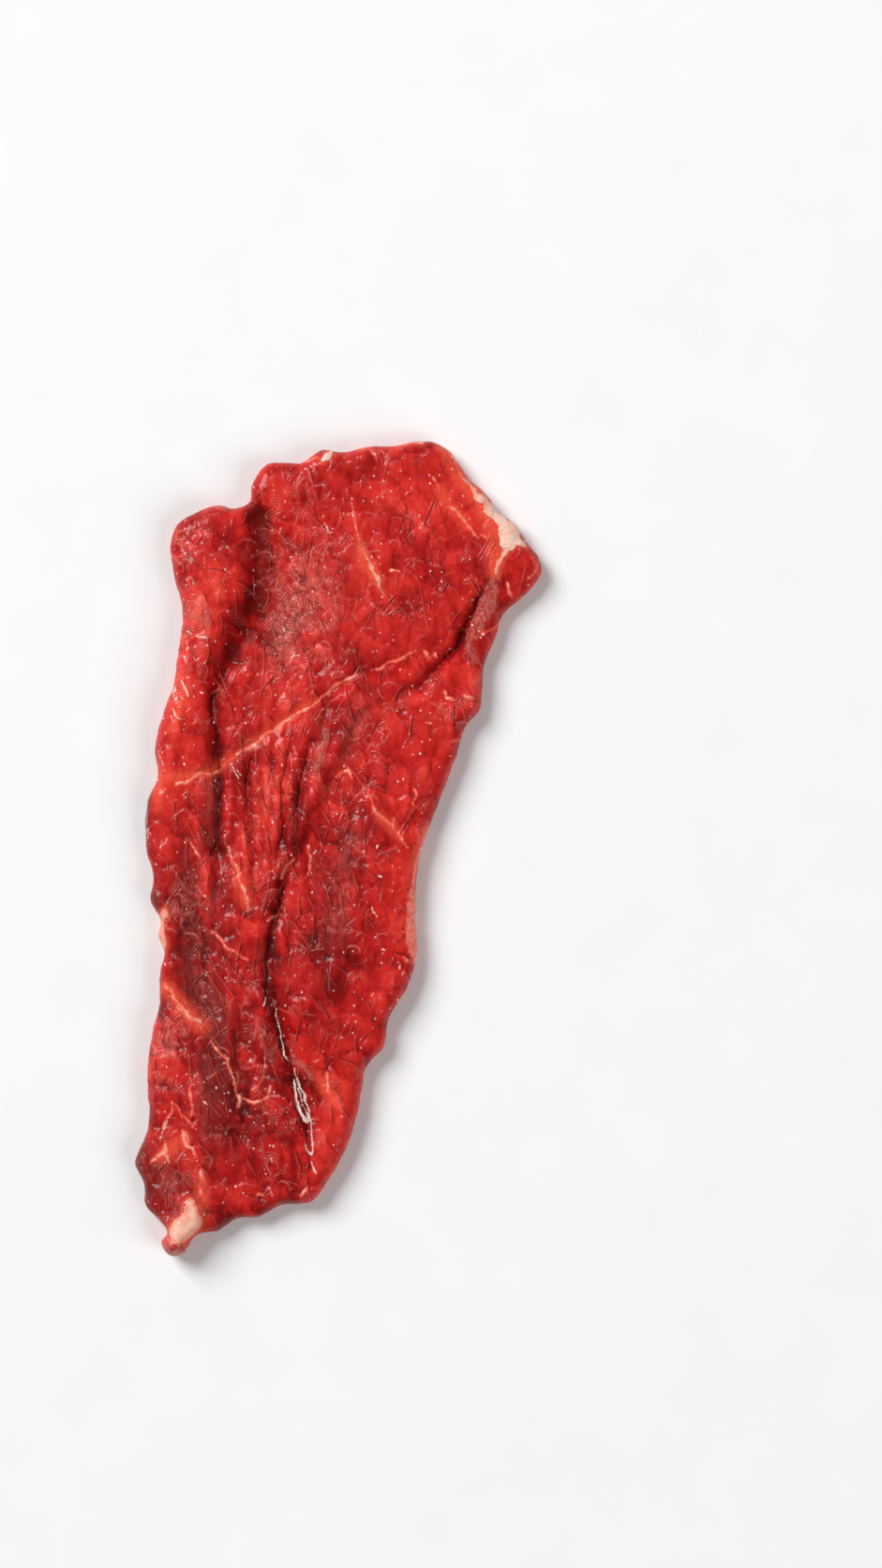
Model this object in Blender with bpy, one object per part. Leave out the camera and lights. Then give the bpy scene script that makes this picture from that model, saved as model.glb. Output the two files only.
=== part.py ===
"""A thin-cut beef round steak, laid flat: one slice across several muscles.

The plan is one smooth outline. The upper surface is a height over that plan: a level slab with
swells where a muscle stands proud, grooves where two muscles meet, ledges where one laps over
the next, a nub of fat at one corner and a rounded rim. The underside is flat.

Units are metres, +Z up. The slice lies on Z = 0, with its length along Y and its origin under its middle.
"""

import math

import bmesh
import bpy
import numpy as np
from mathutils import Vector, noise
from mathutils.geometry import delaunay_2d_cdt

NAME = "beef_round_steak"
MM = 0.001

# Sizes of the slab, in millimetres
THICKNESS = 6.6
RIM_REACH = 3.6
RIM_SHARE = 0.46
FOOT_INSET = 1.1

# Spacing of the mesh, in millimetres, and the shares of it that keep its rows apart
CELL = 2.5
RING_DEPTHS = (1.0, 2.3)
RING_KEEP = 0.85
FIELD_CLEARANCE = 0.6
MERGE_DISTANCE = 1e-6

# The outline in millimetres, clockwise from the upper left corner
OUTLINE = [
    # far edge
    (-39.5, 79.5), (-35, 82.5), (-29.5, 84.2), (-25.5, 83.5), (-22, 85), (-21.3, 89),
    (-18.5, 93.7), (-8.5, 95), (-4, 97.8), (1, 97.2), (7, 98.6), (14, 98.8), (20.5, 100),
    # fat cap and flap on the right
    (25, 99), (33, 90), (37.3, 85.8), (39, 83), (43.5, 79.5), (46, 75.5), (49.2, 71.5),
    (50, 67.8), (47.5, 63.5), (40.5, 56.7), (38.7, 51), (36, 45), (35.6, 38), (34.5, 33),
    # long slanting edge down the right
    (31.6, 30), (30, 25), (23.5, 7.5), (20.3, -1.5), (19.2, -15), (19.4, -27), (16.9, -34.5),
    (12.6, -42), (11.6, -48), (7, -54), (5.8, -61), (2.4, -73), (-2, -81), (-7, -87),
    # near edge and the nub of fat
    (-13, -87.3), (-19.5, -90.3), (-24.5, -90.8), (-29, -93.6), (-35, -95.2), (-37.5, -99),
    (-39.8, -100), (-43, -98.3), (-43.5, -96), (-42.3, -94.5),
    # left edge
    (-47.6, -87), (-47.9, -82.5), (-50, -77), (-47.4, -70), (-46.5, -64), (-47, -58),
    (-46, -46), (-44.1, -38), (-43.9, -30), (-42.8, -25.5), (-44.2, -21.5), (-43.9, -17.5),
    (-46.4, -12), (-45.6, -7.5), (-47, -1.5), (-47.5, 7.5), (-46.9, 11.5), (-44.4, 18.5),
    (-45.1, 23.5), (-43.5, 32), (-40.8, 39.5), (-39.8, 46), (-38.4, 57), (-41, 69.5),
    (-41.4, 74.5),
]

# Swells: centre, half length, half width, turn in degrees from X, height, all in millimetres
SWELLS = [
    # upper left lobe and the lobe below it
    ((-31, 66), 19, 9, 84, 1.9),
    ((-37, 30), 17, 8, 98, 1.7),
    # round muscle at the far right
    ((17, 74), 26, 20, 100, 0.9),
    # long tongue on the right, from its broad head to its tip
    ((19, 27), 17, 11, 70, 1.0),
    ((4, -22), 34, 12, 72, 1.5),
    ((-3, -66), 15, 6, 68, 0.9),
    # near left muscle
    ((-37, -66), 22, 10, 92, 0.7),
    # flap lying low under the round muscle
    ((42, 58), 14, 5, 55, -1.1),
    # knob of lean between the round muscle and the tongue
    ((27, 45.5), 4, 3, 10, 0.8),
    # wet hollow below the upper lobe
    ((-18, 46), 12, 9, 60, -0.8),
]

# Grooves: path, depth, half width, all in millimetres
GROOVES = [
    # deep valley right of the upper lobe, and the crease that carries it on
    ([(-22, 85), (-19, 80), (-18, 73), (-19.5, 64), (-21, 58), (-25, 50), (-29, 41)], 2.6, 3.4),
    ([(-27, 46), (-30.5, 36), (-29.5, 26), (-28.8, 14), (-30, 2), (-28, -7)], 1.9, 1.7),
    # seam across the slice
    ([(-39.5, 15.8), (-33.3, 18.5), (-29.5, 18.8), (-20, 26), (-6, 35.5), (3, 41.5), (19, 48)], 0.8, 1.5),
    # crease where the round muscle lies over the flap
    ([(36, 65), (34, 59.5), (31, 54.5), (29.5, 49.5), (24.5, 44.5), (20, 39.5), (12, 37)], 1.5, 1.5),
    # creases between the long fibres
    ([(-21, 24), (-22.5, 15), (-22, 4), (-18.5, -8)], 1.1, 1.3),
    ([(-11.5, 27), (-13.8, 15), (-13.6, 4), (-16, -6)], 1.3, 1.2),
    ([(-6, 28), (-8.5, 18), (-10, 8)], 1.2, 1.3),
    ([(-16.5, 23), (-17.6, 12), (-17, 2)], 0.8, 1.1),
    # crease along the low side of the tongue
    ([(-9, 4), (-13.4, -6.5), (-15, -15), (-17, -24), (-17.2, -34), (-15.6, -41), (-12.4, -51),
      (-9, -60), (-7.4, -68), (-6.4, -77)], 1.4, 1.5),
    # folds in the near left muscle
    ([(-22, -28), (-23.5, -46), (-24, -62), (-23, -74)], 0.9, 1.8),
    ([(-36, -8), (-37.5, -22), (-34, -36), (-30, -50), (-26, -58)], 0.8, 1.8),
]

# Ledges: path with the raised side on its left, height, how far the rise runs back, in millimetres
LEDGES = [
    # left side of the tongue, from its tip up to its head
    ([(-5, -80), (-6.4, -70), (-8.8, -58), (-13.4, -47), (-15.8, -35), (-16.8, -23), (-14, -8),
      (-9.5, 0), (-4, 15), (1, 24), (5, 33), (13, 39.5)], 2.2, 12.0),
    # round muscle lapping over the flap
    ([(24.5, 44.5), (29.5, 49.5), (31, 54.5), (34, 59.5), (36, 65)], -0.9, 8.0),
]
LEDGE_RAMP = 1.3

# Nub of fat lying over the near left corner: path, half width and height in millimetres
NUB_PATH = [(-36, -88), (-37, -92), (-40, -96.5)]
NUB_RADIUS = 3.6
NUB_HEIGHT = 3.2

# Random unevenness: size of the swells along X and Y, and their height, in millimetres
WAVES = [(17.0, 24.0, 0.7), (7.0, 11.0, 0.45), (3.6, 7.0, 0.22)]
WAVE_LAYER_GAP = 7.3

# Share of a path over which a groove or ledge fades at each end
END_SHARE = 0.12

MEAT_COLOUR = (0.50, 0.031, 0.027, 1.0)
MEAT_ROUGHNESS = 0.34
SHARP_ANGLE = 50


def smooth_loop(knots, step):
    """A closed curve through the knots, as points about step apart."""
    knots = np.array(knots, float)
    before, after = np.roll(knots, 1, axis=0), np.roll(knots, -1, axis=0)
    gap_back = np.linalg.norm(knots - before, axis=1, keepdims=True)
    gap_on = np.linalg.norm(after - knots, axis=1, keepdims=True)
    slope = (knots - before) / gap_back * gap_on + (after - knots) / gap_on * gap_back
    slope /= gap_back + gap_on
    points = []
    for i, start in enumerate(knots):
        j = (i + 1) % len(knots)
        count = max(8, math.ceil(gap_on[i, 0] * 4))
        t = np.linspace(0, 1, count, endpoint=False)[:, None]
        rise, fall = slope[i] * gap_on[i], slope[j] * gap_on[i]
        points.append(
            (2 * t**3 - 3 * t**2 + 1) * start
            + (t**3 - 2 * t**2 + t) * rise
            + (3 * t**2 - 2 * t**3) * knots[j]
            + (t**3 - t**2) * fall
        )
    return even_spacing(np.concatenate(points), step)


def even_spacing(loop, step):
    """The same closed loop, as points evenly about step apart."""
    closed = np.vstack([loop, loop[:1]])
    run = np.concatenate([[0], np.cumsum(np.linalg.norm(np.diff(closed, axis=0), axis=1))])
    at = np.linspace(0, run[-1], round(run[-1] / step), endpoint=False)
    return np.column_stack([np.interp(at, run, closed[:, k]) for k in (0, 1)])


def to_path(points, path):
    """Distance of each point from a path, positive on the path's left, and how far along it is, 0 to 1."""
    path = np.array(path, float)
    lengths = np.linalg.norm(np.diff(path, axis=0), axis=1)
    starts = np.concatenate([[0], np.cumsum(lengths)])
    nearest = np.full(len(points), np.inf)
    side = np.ones(len(points))
    along = np.zeros(len(points))
    for i, length in enumerate(lengths):
        run = (path[i + 1] - path[i]) / length
        offset = points - path[i]
        reach = np.clip(offset @ run, 0, length)
        distance = np.linalg.norm(offset - reach[:, None] * run, axis=1)
        closer = distance < nearest
        nearest[closer] = distance[closer]
        side[closer] = np.where(run[0] * offset[:, 1] - run[1] * offset[:, 0] >= 0, 1, -1)[closer]
        along[closer] = (starts[i] + reach[closer]) / starts[-1]
    return nearest * side, along


def ease(value, low, high):
    """0 below low, 1 above high, and smooth between."""
    t = np.clip((value - low) / (high - low), 0, 1)
    return t * t * (3 - 2 * t)


def fade_ends(along):
    return ease(along, 0, END_SHARE) * ease(1 - along, 0, END_SHARE)


def swell(points, centre, half_length, half_width, turn, height):
    """A smooth oval rise."""
    angle = math.radians(turn)
    offset = points - np.array(centre, float)
    along = offset @ np.array([math.cos(angle), math.sin(angle)])
    across = offset @ np.array([-math.sin(angle), math.cos(angle)])
    return height * np.exp(-((along / half_length) ** 2) - (across / half_width) ** 2)


def groove(points, path, depth, half_width):
    distance, along = to_path(points, path)
    return -depth * np.exp(-((distance / half_width) ** 2)) * fade_ends(along)


def ledge(points, path, height, run_back):
    """A rise on the left of the path, steep at the path and dying away behind it."""
    distance, along = to_path(points, path)
    step = ease(distance, -LEDGE_RAMP, LEDGE_RAMP) * np.exp(-np.maximum(distance, 0) / run_back)
    return height * step * fade_ends(along)


def unevenness(points):
    rise = np.zeros(len(points))
    for layer, (size_x, size_y, height) in enumerate(WAVES):
        for i, (x, y) in enumerate(points):
            rise[i] += height * noise.noise(Vector((x / size_x, y / size_y, layer * WAVE_LAYER_GAP)))
    return rise


def surface_height(points, edge_distance):
    """Height of the upper surface over each point of the plan."""
    height = THICKNESS + unevenness(points)
    for centre, half_length, half_width, turn, rise in SWELLS:
        height += swell(points, centre, half_length, half_width, turn, rise)
    for path, depth, half_width in GROOVES:
        height += groove(points, path, depth, half_width)
    for path, rise, run_back in LEDGES:
        height += ledge(points, path, rise, run_back)
    nub = np.abs(to_path(points, NUB_PATH)[0])
    height += NUB_HEIGHT * np.sqrt(np.clip(1 - (nub / NUB_RADIUS) ** 2, 0, 1))
    rim = np.clip(edge_distance / RIM_REACH, 0, 1)
    return height * (RIM_SHARE + (1 - RIM_SHARE) * np.sqrt(1 - (1 - rim) ** 2))


def inset(loop, depth):
    """The clockwise loop moved inwards, point by point."""
    run = np.roll(loop, -1, axis=0) - np.roll(loop, 1, axis=0)
    inwards = np.column_stack([run[:, 1], -run[:, 0]])
    return loop + depth * inwards / np.linalg.norm(inwards, axis=1, keepdims=True)


def closed(loop):
    return np.vstack([loop, loop[:1]])


def plan_points(loop):
    """The outline's points, then rings inside it, then a field of evenly spaced points."""
    rows = [loop]
    for depth in RING_DEPTHS:
        ring = inset(loop, depth)
        rows.append(ring[np.abs(to_path(ring, closed(loop))[0]) > RING_KEEP * depth])
    low, high = loop.min(0), loop.max(0)
    row_gap = CELL * math.sqrt(3) / 2
    field = []
    for row, y in enumerate(np.arange(low[1], high[1], row_gap)):
        shift = CELL / 2 * (row % 2)
        field += [(x + shift, y) for x in np.arange(low[0], high[0], CELL)]
    field = np.array(field)
    inside = to_path(field, closed(loop))[0] < -(RING_DEPTHS[-1] + FIELD_CLEARANCE * CELL)
    rows.append(field[inside])
    return np.concatenate(rows)


def build_steak():
    """One closed body: the upper surface, the side below its rim and the flat underside."""
    loop = smooth_loop(OUTLINE, CELL)
    count = len(loop)
    border = [(i, (i + 1) % count) for i in range(count)]
    plan = [Vector(p) for p in plan_points(loop)]
    spots, _, triangles, *_ = delaunay_2d_cdt(plan, border, [list(range(count))], 1, MERGE_DISTANCE)
    spots = np.array([tuple(p) for p in spots])
    height = surface_height(spots, np.abs(to_path(spots, closed(loop))[0]))

    mesh = bmesh.new()
    verts = [mesh.verts.new((x * MM, y * MM, z * MM)) for (x, y), z in zip(spots, height)]
    for corners in triangles:
        mesh.faces.new([verts[i] for i in corners])

    rim = [edge for edge in mesh.edges if edge.is_boundary]
    side = bmesh.ops.extrude_edge_only(mesh, edges=rim)["geom"]
    foot = [item for item in side if isinstance(item, bmesh.types.BMVert)]
    foot_loop = closed(inset(loop, FOOT_INSET))
    for vert in foot:
        nearest = np.argmin(np.linalg.norm(loop - np.array(vert.co[:2]) / MM, axis=1))
        vert.co = Vector((*foot_loop[nearest] * MM, 0))
    base = [edge for edge in side if isinstance(edge, bmesh.types.BMEdge) and edge.is_boundary]
    bmesh.ops.triangle_fill(mesh, edges=base, use_beauty=True)
    bmesh.ops.recalc_face_normals(mesh, faces=mesh.faces)

    data = bpy.data.meshes.new(NAME)
    mesh.to_mesh(data)
    mesh.free()
    data.shade_smooth()
    data.set_sharp_from_angle(angle=math.radians(SHARP_ANGLE))
    return bpy.data.objects.new(NAME, data)


def meat_material():
    material = bpy.data.materials.new("beef")
    material.use_nodes = True
    shader = material.node_tree.nodes["Principled BSDF"]
    shader.inputs["Base Color"].default_value = MEAT_COLOUR
    shader.inputs["Roughness"].default_value = MEAT_ROUGHNESS
    shader.inputs["Metallic"].default_value = 0
    return material


def main():
    for old in list(bpy.data.objects):
        bpy.data.objects.remove(old)
    parts = bpy.data.collections.new(NAME)
    bpy.context.scene.collection.children.link(parts)
    steak = build_steak()
    steak.data.materials.append(meat_material())
    parts.objects.link(steak)


main()
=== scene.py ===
"""The looks of a raw, thin-cut beef round steak, seen from straight above on a plain pale floor.

One dense mesh replaces the CAD solid. It has the same outline and the same swells, grooves and
ledges, and adds the finer relief. Its shading is painted by strokes: paths in millimetres with a
half width at each point, turned into distance fields that the material reads and breaks up.
"""

import math

import bpy
import numpy as np
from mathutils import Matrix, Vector, noise
from mathutils.geometry import delaunay_2d_cdt
from mathutils.kdtree import KDTree


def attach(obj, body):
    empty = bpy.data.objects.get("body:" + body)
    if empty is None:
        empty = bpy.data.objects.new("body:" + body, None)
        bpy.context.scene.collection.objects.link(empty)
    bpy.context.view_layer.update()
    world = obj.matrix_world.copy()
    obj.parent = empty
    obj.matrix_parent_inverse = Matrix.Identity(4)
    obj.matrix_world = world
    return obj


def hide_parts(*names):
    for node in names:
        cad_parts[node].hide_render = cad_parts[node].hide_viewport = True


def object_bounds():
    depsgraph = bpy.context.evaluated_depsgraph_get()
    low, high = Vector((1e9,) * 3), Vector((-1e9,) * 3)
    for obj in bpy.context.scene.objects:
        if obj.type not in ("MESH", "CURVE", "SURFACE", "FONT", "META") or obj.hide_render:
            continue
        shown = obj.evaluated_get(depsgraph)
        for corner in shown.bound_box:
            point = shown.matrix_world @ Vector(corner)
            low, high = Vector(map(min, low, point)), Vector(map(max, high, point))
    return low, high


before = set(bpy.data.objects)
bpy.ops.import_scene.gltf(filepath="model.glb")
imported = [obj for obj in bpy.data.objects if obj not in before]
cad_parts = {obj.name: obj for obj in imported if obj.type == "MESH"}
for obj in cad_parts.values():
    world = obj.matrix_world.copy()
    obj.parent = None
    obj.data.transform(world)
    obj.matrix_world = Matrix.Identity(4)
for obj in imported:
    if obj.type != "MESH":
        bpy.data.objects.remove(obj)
cad_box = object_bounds()

NODE = "beef_round_steak"
MM = 0.001

# Sizes of the slab, in millimetres, as in the CAD model
THICKNESS = 6.6
RIM_REACH = 3.6
RIM_SHARE = 0.46
FOOT_INSET = 1.1

# The outline in millimetres, clockwise from the upper left corner
OUTLINE = [
    # far edge
    (-39.5, 79.5), (-35, 82.5), (-29.5, 84.2), (-25.5, 83.5), (-22, 85), (-21.3, 89),
    (-18.5, 93.7), (-8.5, 95), (-4, 97.8), (1, 97.2), (7, 98.6), (14, 98.8), (20.5, 100),
    # fat cap and flap on the right
    (25, 99), (33, 90), (37.3, 85.8), (39, 83), (43.5, 79.5), (46, 75.5), (49.2, 71.5),
    (50, 67.8), (47.5, 63.5), (40.5, 56.7), (38.7, 51), (36, 45), (35.6, 38), (34.5, 33),
    # long slanting edge down the right
    (31.6, 30), (30, 25), (23.5, 7.5), (20.3, -1.5), (19.2, -15), (19.4, -27), (16.9, -34.5),
    (12.6, -42), (11.6, -48), (7, -54), (5.8, -61), (2.4, -73), (-2, -81), (-7, -87),
    # near edge and the nub of fat
    (-13, -87.3), (-19.5, -90.3), (-24.5, -90.8), (-29, -93.6), (-35, -95.2), (-37.5, -99),
    (-39.8, -100), (-43, -98.3), (-43.5, -96), (-42.3, -94.5),
    # left edge
    (-47.6, -87), (-47.9, -82.5), (-50, -77), (-47.4, -70), (-46.5, -64), (-47, -58),
    (-46, -46), (-44.1, -38), (-43.9, -30), (-42.8, -25.5), (-44.2, -21.5), (-43.9, -17.5),
    (-46.4, -12), (-45.6, -7.5), (-47, -1.5), (-47.5, 7.5), (-46.9, 11.5), (-44.4, 18.5),
    (-45.1, 23.5), (-43.5, 32), (-40.8, 39.5), (-39.8, 46), (-38.4, 57), (-41, 69.5),
    (-41.4, 74.5),
]

# Swells: centre, half length, half width, turn in degrees from X, height, all in millimetres
SWELLS = [
    # upper left lobe and the lobe below it
    ((-31, 66), 19, 9, 84, 1.9),
    ((-37, 30), 17, 8, 98, 1.7),
    # round muscle at the far right
    ((17, 74), 26, 20, 100, 0.9),
    # long tongue on the right, from its broad head to its tip
    ((19, 27), 17, 11, 70, 1.0),
    ((4, -22), 34, 12, 72, 1.5),
    ((-3, -66), 15, 6, 68, 0.9),
    # near left muscle
    ((-37, -66), 22, 10, 92, 0.7),
    # flap lying low under the round muscle
    ((42, 58), 14, 5, 55, -1.1),
    # knob of lean between the round muscle and the tongue
    ((27, 45.5), 4, 3, 10, 0.8),
    # wet hollow below the upper lobe
    ((-18, 46), 12, 9, 60, -0.8),
]

# Grooves: path, depth, half width, all in millimetres
GROOVES = [
    # deep valley right of the upper lobe, and the crease that carries it on
    ([(-22, 85), (-19, 80), (-18, 73), (-19.5, 64), (-21, 58), (-25, 50), (-29, 41)], 2.6, 3.4),
    ([(-27, 46), (-30.5, 36), (-29.5, 26), (-28.8, 14), (-30, 2), (-28, -7)], 1.9, 1.7),
    # seam across the slice
    ([(-39.5, 15.8), (-33.3, 18.5), (-29.5, 18.8), (-20, 26), (-6, 35.5), (3, 41.5), (19, 48)], 0.8, 1.5),
    # crease where the round muscle lies over the flap
    ([(36, 65), (34, 59.5), (31, 54.5), (29.5, 49.5), (24.5, 44.5), (20, 39.5), (12, 37)], 1.5, 1.5),
    # creases between the long fibres
    ([(-21, 24), (-22.5, 15), (-22, 4), (-18.5, -8)], 1.1, 1.3),
    ([(-11.5, 27), (-13.8, 15), (-13.6, 4), (-16, -6)], 1.3, 1.2),
    ([(-6, 28), (-8.5, 18), (-10, 8)], 1.2, 1.3),
    ([(-16.5, 23), (-17.6, 12), (-17, 2)], 0.8, 1.1),
    # crease along the low side of the tongue
    ([(-9, 4), (-13.4, -6.5), (-15, -15), (-17, -24), (-17.2, -34), (-15.6, -41), (-12.4, -51),
      (-9, -60), (-7.4, -68), (-6.4, -77)], 1.4, 1.5),
    # folds in the near left muscle
    ([(-22, -28), (-23.5, -46), (-24, -62), (-23, -74)], 0.9, 1.8),
    ([(-36, -8), (-37.5, -22), (-34, -36), (-30, -50), (-26, -58)], 0.8, 1.8),
]

# Ledges: path with the raised side on its left, height, how far the rise runs back, in millimetres
LEDGES = [
    # left side of the tongue, from its tip up to its head
    ([(-5, -80), (-6.4, -70), (-8.8, -58), (-13.4, -47), (-15.8, -35), (-16.8, -23), (-14, -8),
      (-9.5, 0), (-4, 15), (1, 24), (5, 33), (13, 39.5)], 2.2, 12.0),
    # round muscle lapping over the flap
    ([(24.5, 44.5), (29.5, 49.5), (31, 54.5), (34, 59.5), (36, 65)], -0.9, 8.0),
]
LEDGE_RAMP = 1.3

# Nub of fat lying over the near left corner: path, half width and height in millimetres
NUB_PATH = [(-36, -88), (-37, -92), (-40, -96.5)]
NUB_RADIUS = 3.6
NUB_HEIGHT = 3.2

# Random unevenness: size of the swells along X and Y, and their height, in millimetres
WAVES = [(17.0, 24.0, 0.7), (7.0, 11.0, 0.45), (3.6, 7.0, 0.22)]

# Spacing of the visible mesh, in millimetres
CELL = 0.6
RING_DEPTHS = (0.22, 0.55, 1.0, 1.55)
RING_KEPT = 0.85
FIELD_FROM_RINGS = 0.6 * CELL
FIELD_FROM_STROKES = 0.5 * CELL
STROKE_ROWS = (-0.45, -0.22, 0.0, 0.22, 0.45)
STROKE_STEP = 0.35
STROKE_MERGE = 0.6 * STROKE_STEP

# The side and the underside, in millimetres
SIDE_ROWS = 6
SIDE_STEP = 0.6
SIDE_DRIFT = 0.6
SIDE_ROUGHNESS = 0.22
FOOT_BLEND = 4.5
# Small bays in the outline: depth, size, noise layer
BITES = [(0.20, 3.1, 21), (0.12, 1.3, 22)]
# Dents in the underside: depth, size along X and Y, noise layer
DENTS = [(0.10, 4, 6, 51), (0.05, 1.4, 2.4, 52)]
DENTS_FROM_RIM = 2.0
# What runs on down the side, and how far its edge draws in at each row
DOWN_THE_SIDE = {"fat": 0.0, "film": 0.04, "face": 0.10, "thin": 0.0, "skin": 0.4, "glow": 0.15, "veil": 0.10}
# Strokes that the underside doesn't show, and how far off they are put there
TOP_ONLY = {"gleam": 3.0, "crevice": 3.0, "skin": 3.0}

# Thick fat, cream to white: (x, y, half width) along each stroke, in millimetres
FAT = [
    # cap on the right edge, the band that leads down to it, and its two lower ends
    [(29.6, 92, 0.2), (32.0, 88.9, 0.45), (34.2, 86.4, 0.8), (36.2, 84.2, 1.2), (38.4, 81.4, 2.0),
     (40.3, 79.2, 2.6), (41.6, 77.2, 2.7), (42.2, 75.8, 2.3)],
    [(43, 76.2, 1.5), (44.6, 74.8, 1.1), (46, 73.8, 0.6)],
    [(42, 75, 2.2), (41.4, 73.3, 1.6), (40.3, 71.6, 1.1), (39.3, 70, 0.75), (38.7, 68.4, 0.6),
     (38.4, 67.2, 0.5)],
    # nub at the near left corner
    [(-35.9, -86.2, 1.4), (-35.4, -88, 1.7), (-35.5, -89.6, 2.3), (-36.4, -91.4, 2.9), (-38, -93.0, 2.9),
     (-38.8, -94.2, 2.2), (-38.4, -95, 1.5)],
    # left edge
    [(-42.2, -14.8, 0.5), (-42.8, -17.5, 1.0), (-43.2, -21, 1.2), (-42.8, -23.6, 0.7), (-42.6, -25.3, 0.3)],
    [(-44.6, -15.8, 0.5), (-43.9, -16.8, 0.5)],
    # middle streak
    [(4.8, 76.5, 0.12), (6.6, 71.5, 0.2), (8, 68.6, 0.4), (9.2, 66.6, 0.75), (9.9, 65.2, 0.6),
     (10.4, 63.6, 0.35), (11.4, 61.8, 0.15)],
    # folds on the far edge
    [(-1.8, 97.0, 0.6), (-2.9, 95.8, 0.85), (-3.8, 94.9, 0.4)],
    [(3.2, 98.1, 0.2), (5.4, 98.2, 0.3), (7.4, 98.5, 0.5)],
    [(16.5, 98.8, 0.15), (19, 99.1, 0.3), (20.4, 99.3, 0.75), (21, 99.5, 0.3)],
]

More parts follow.
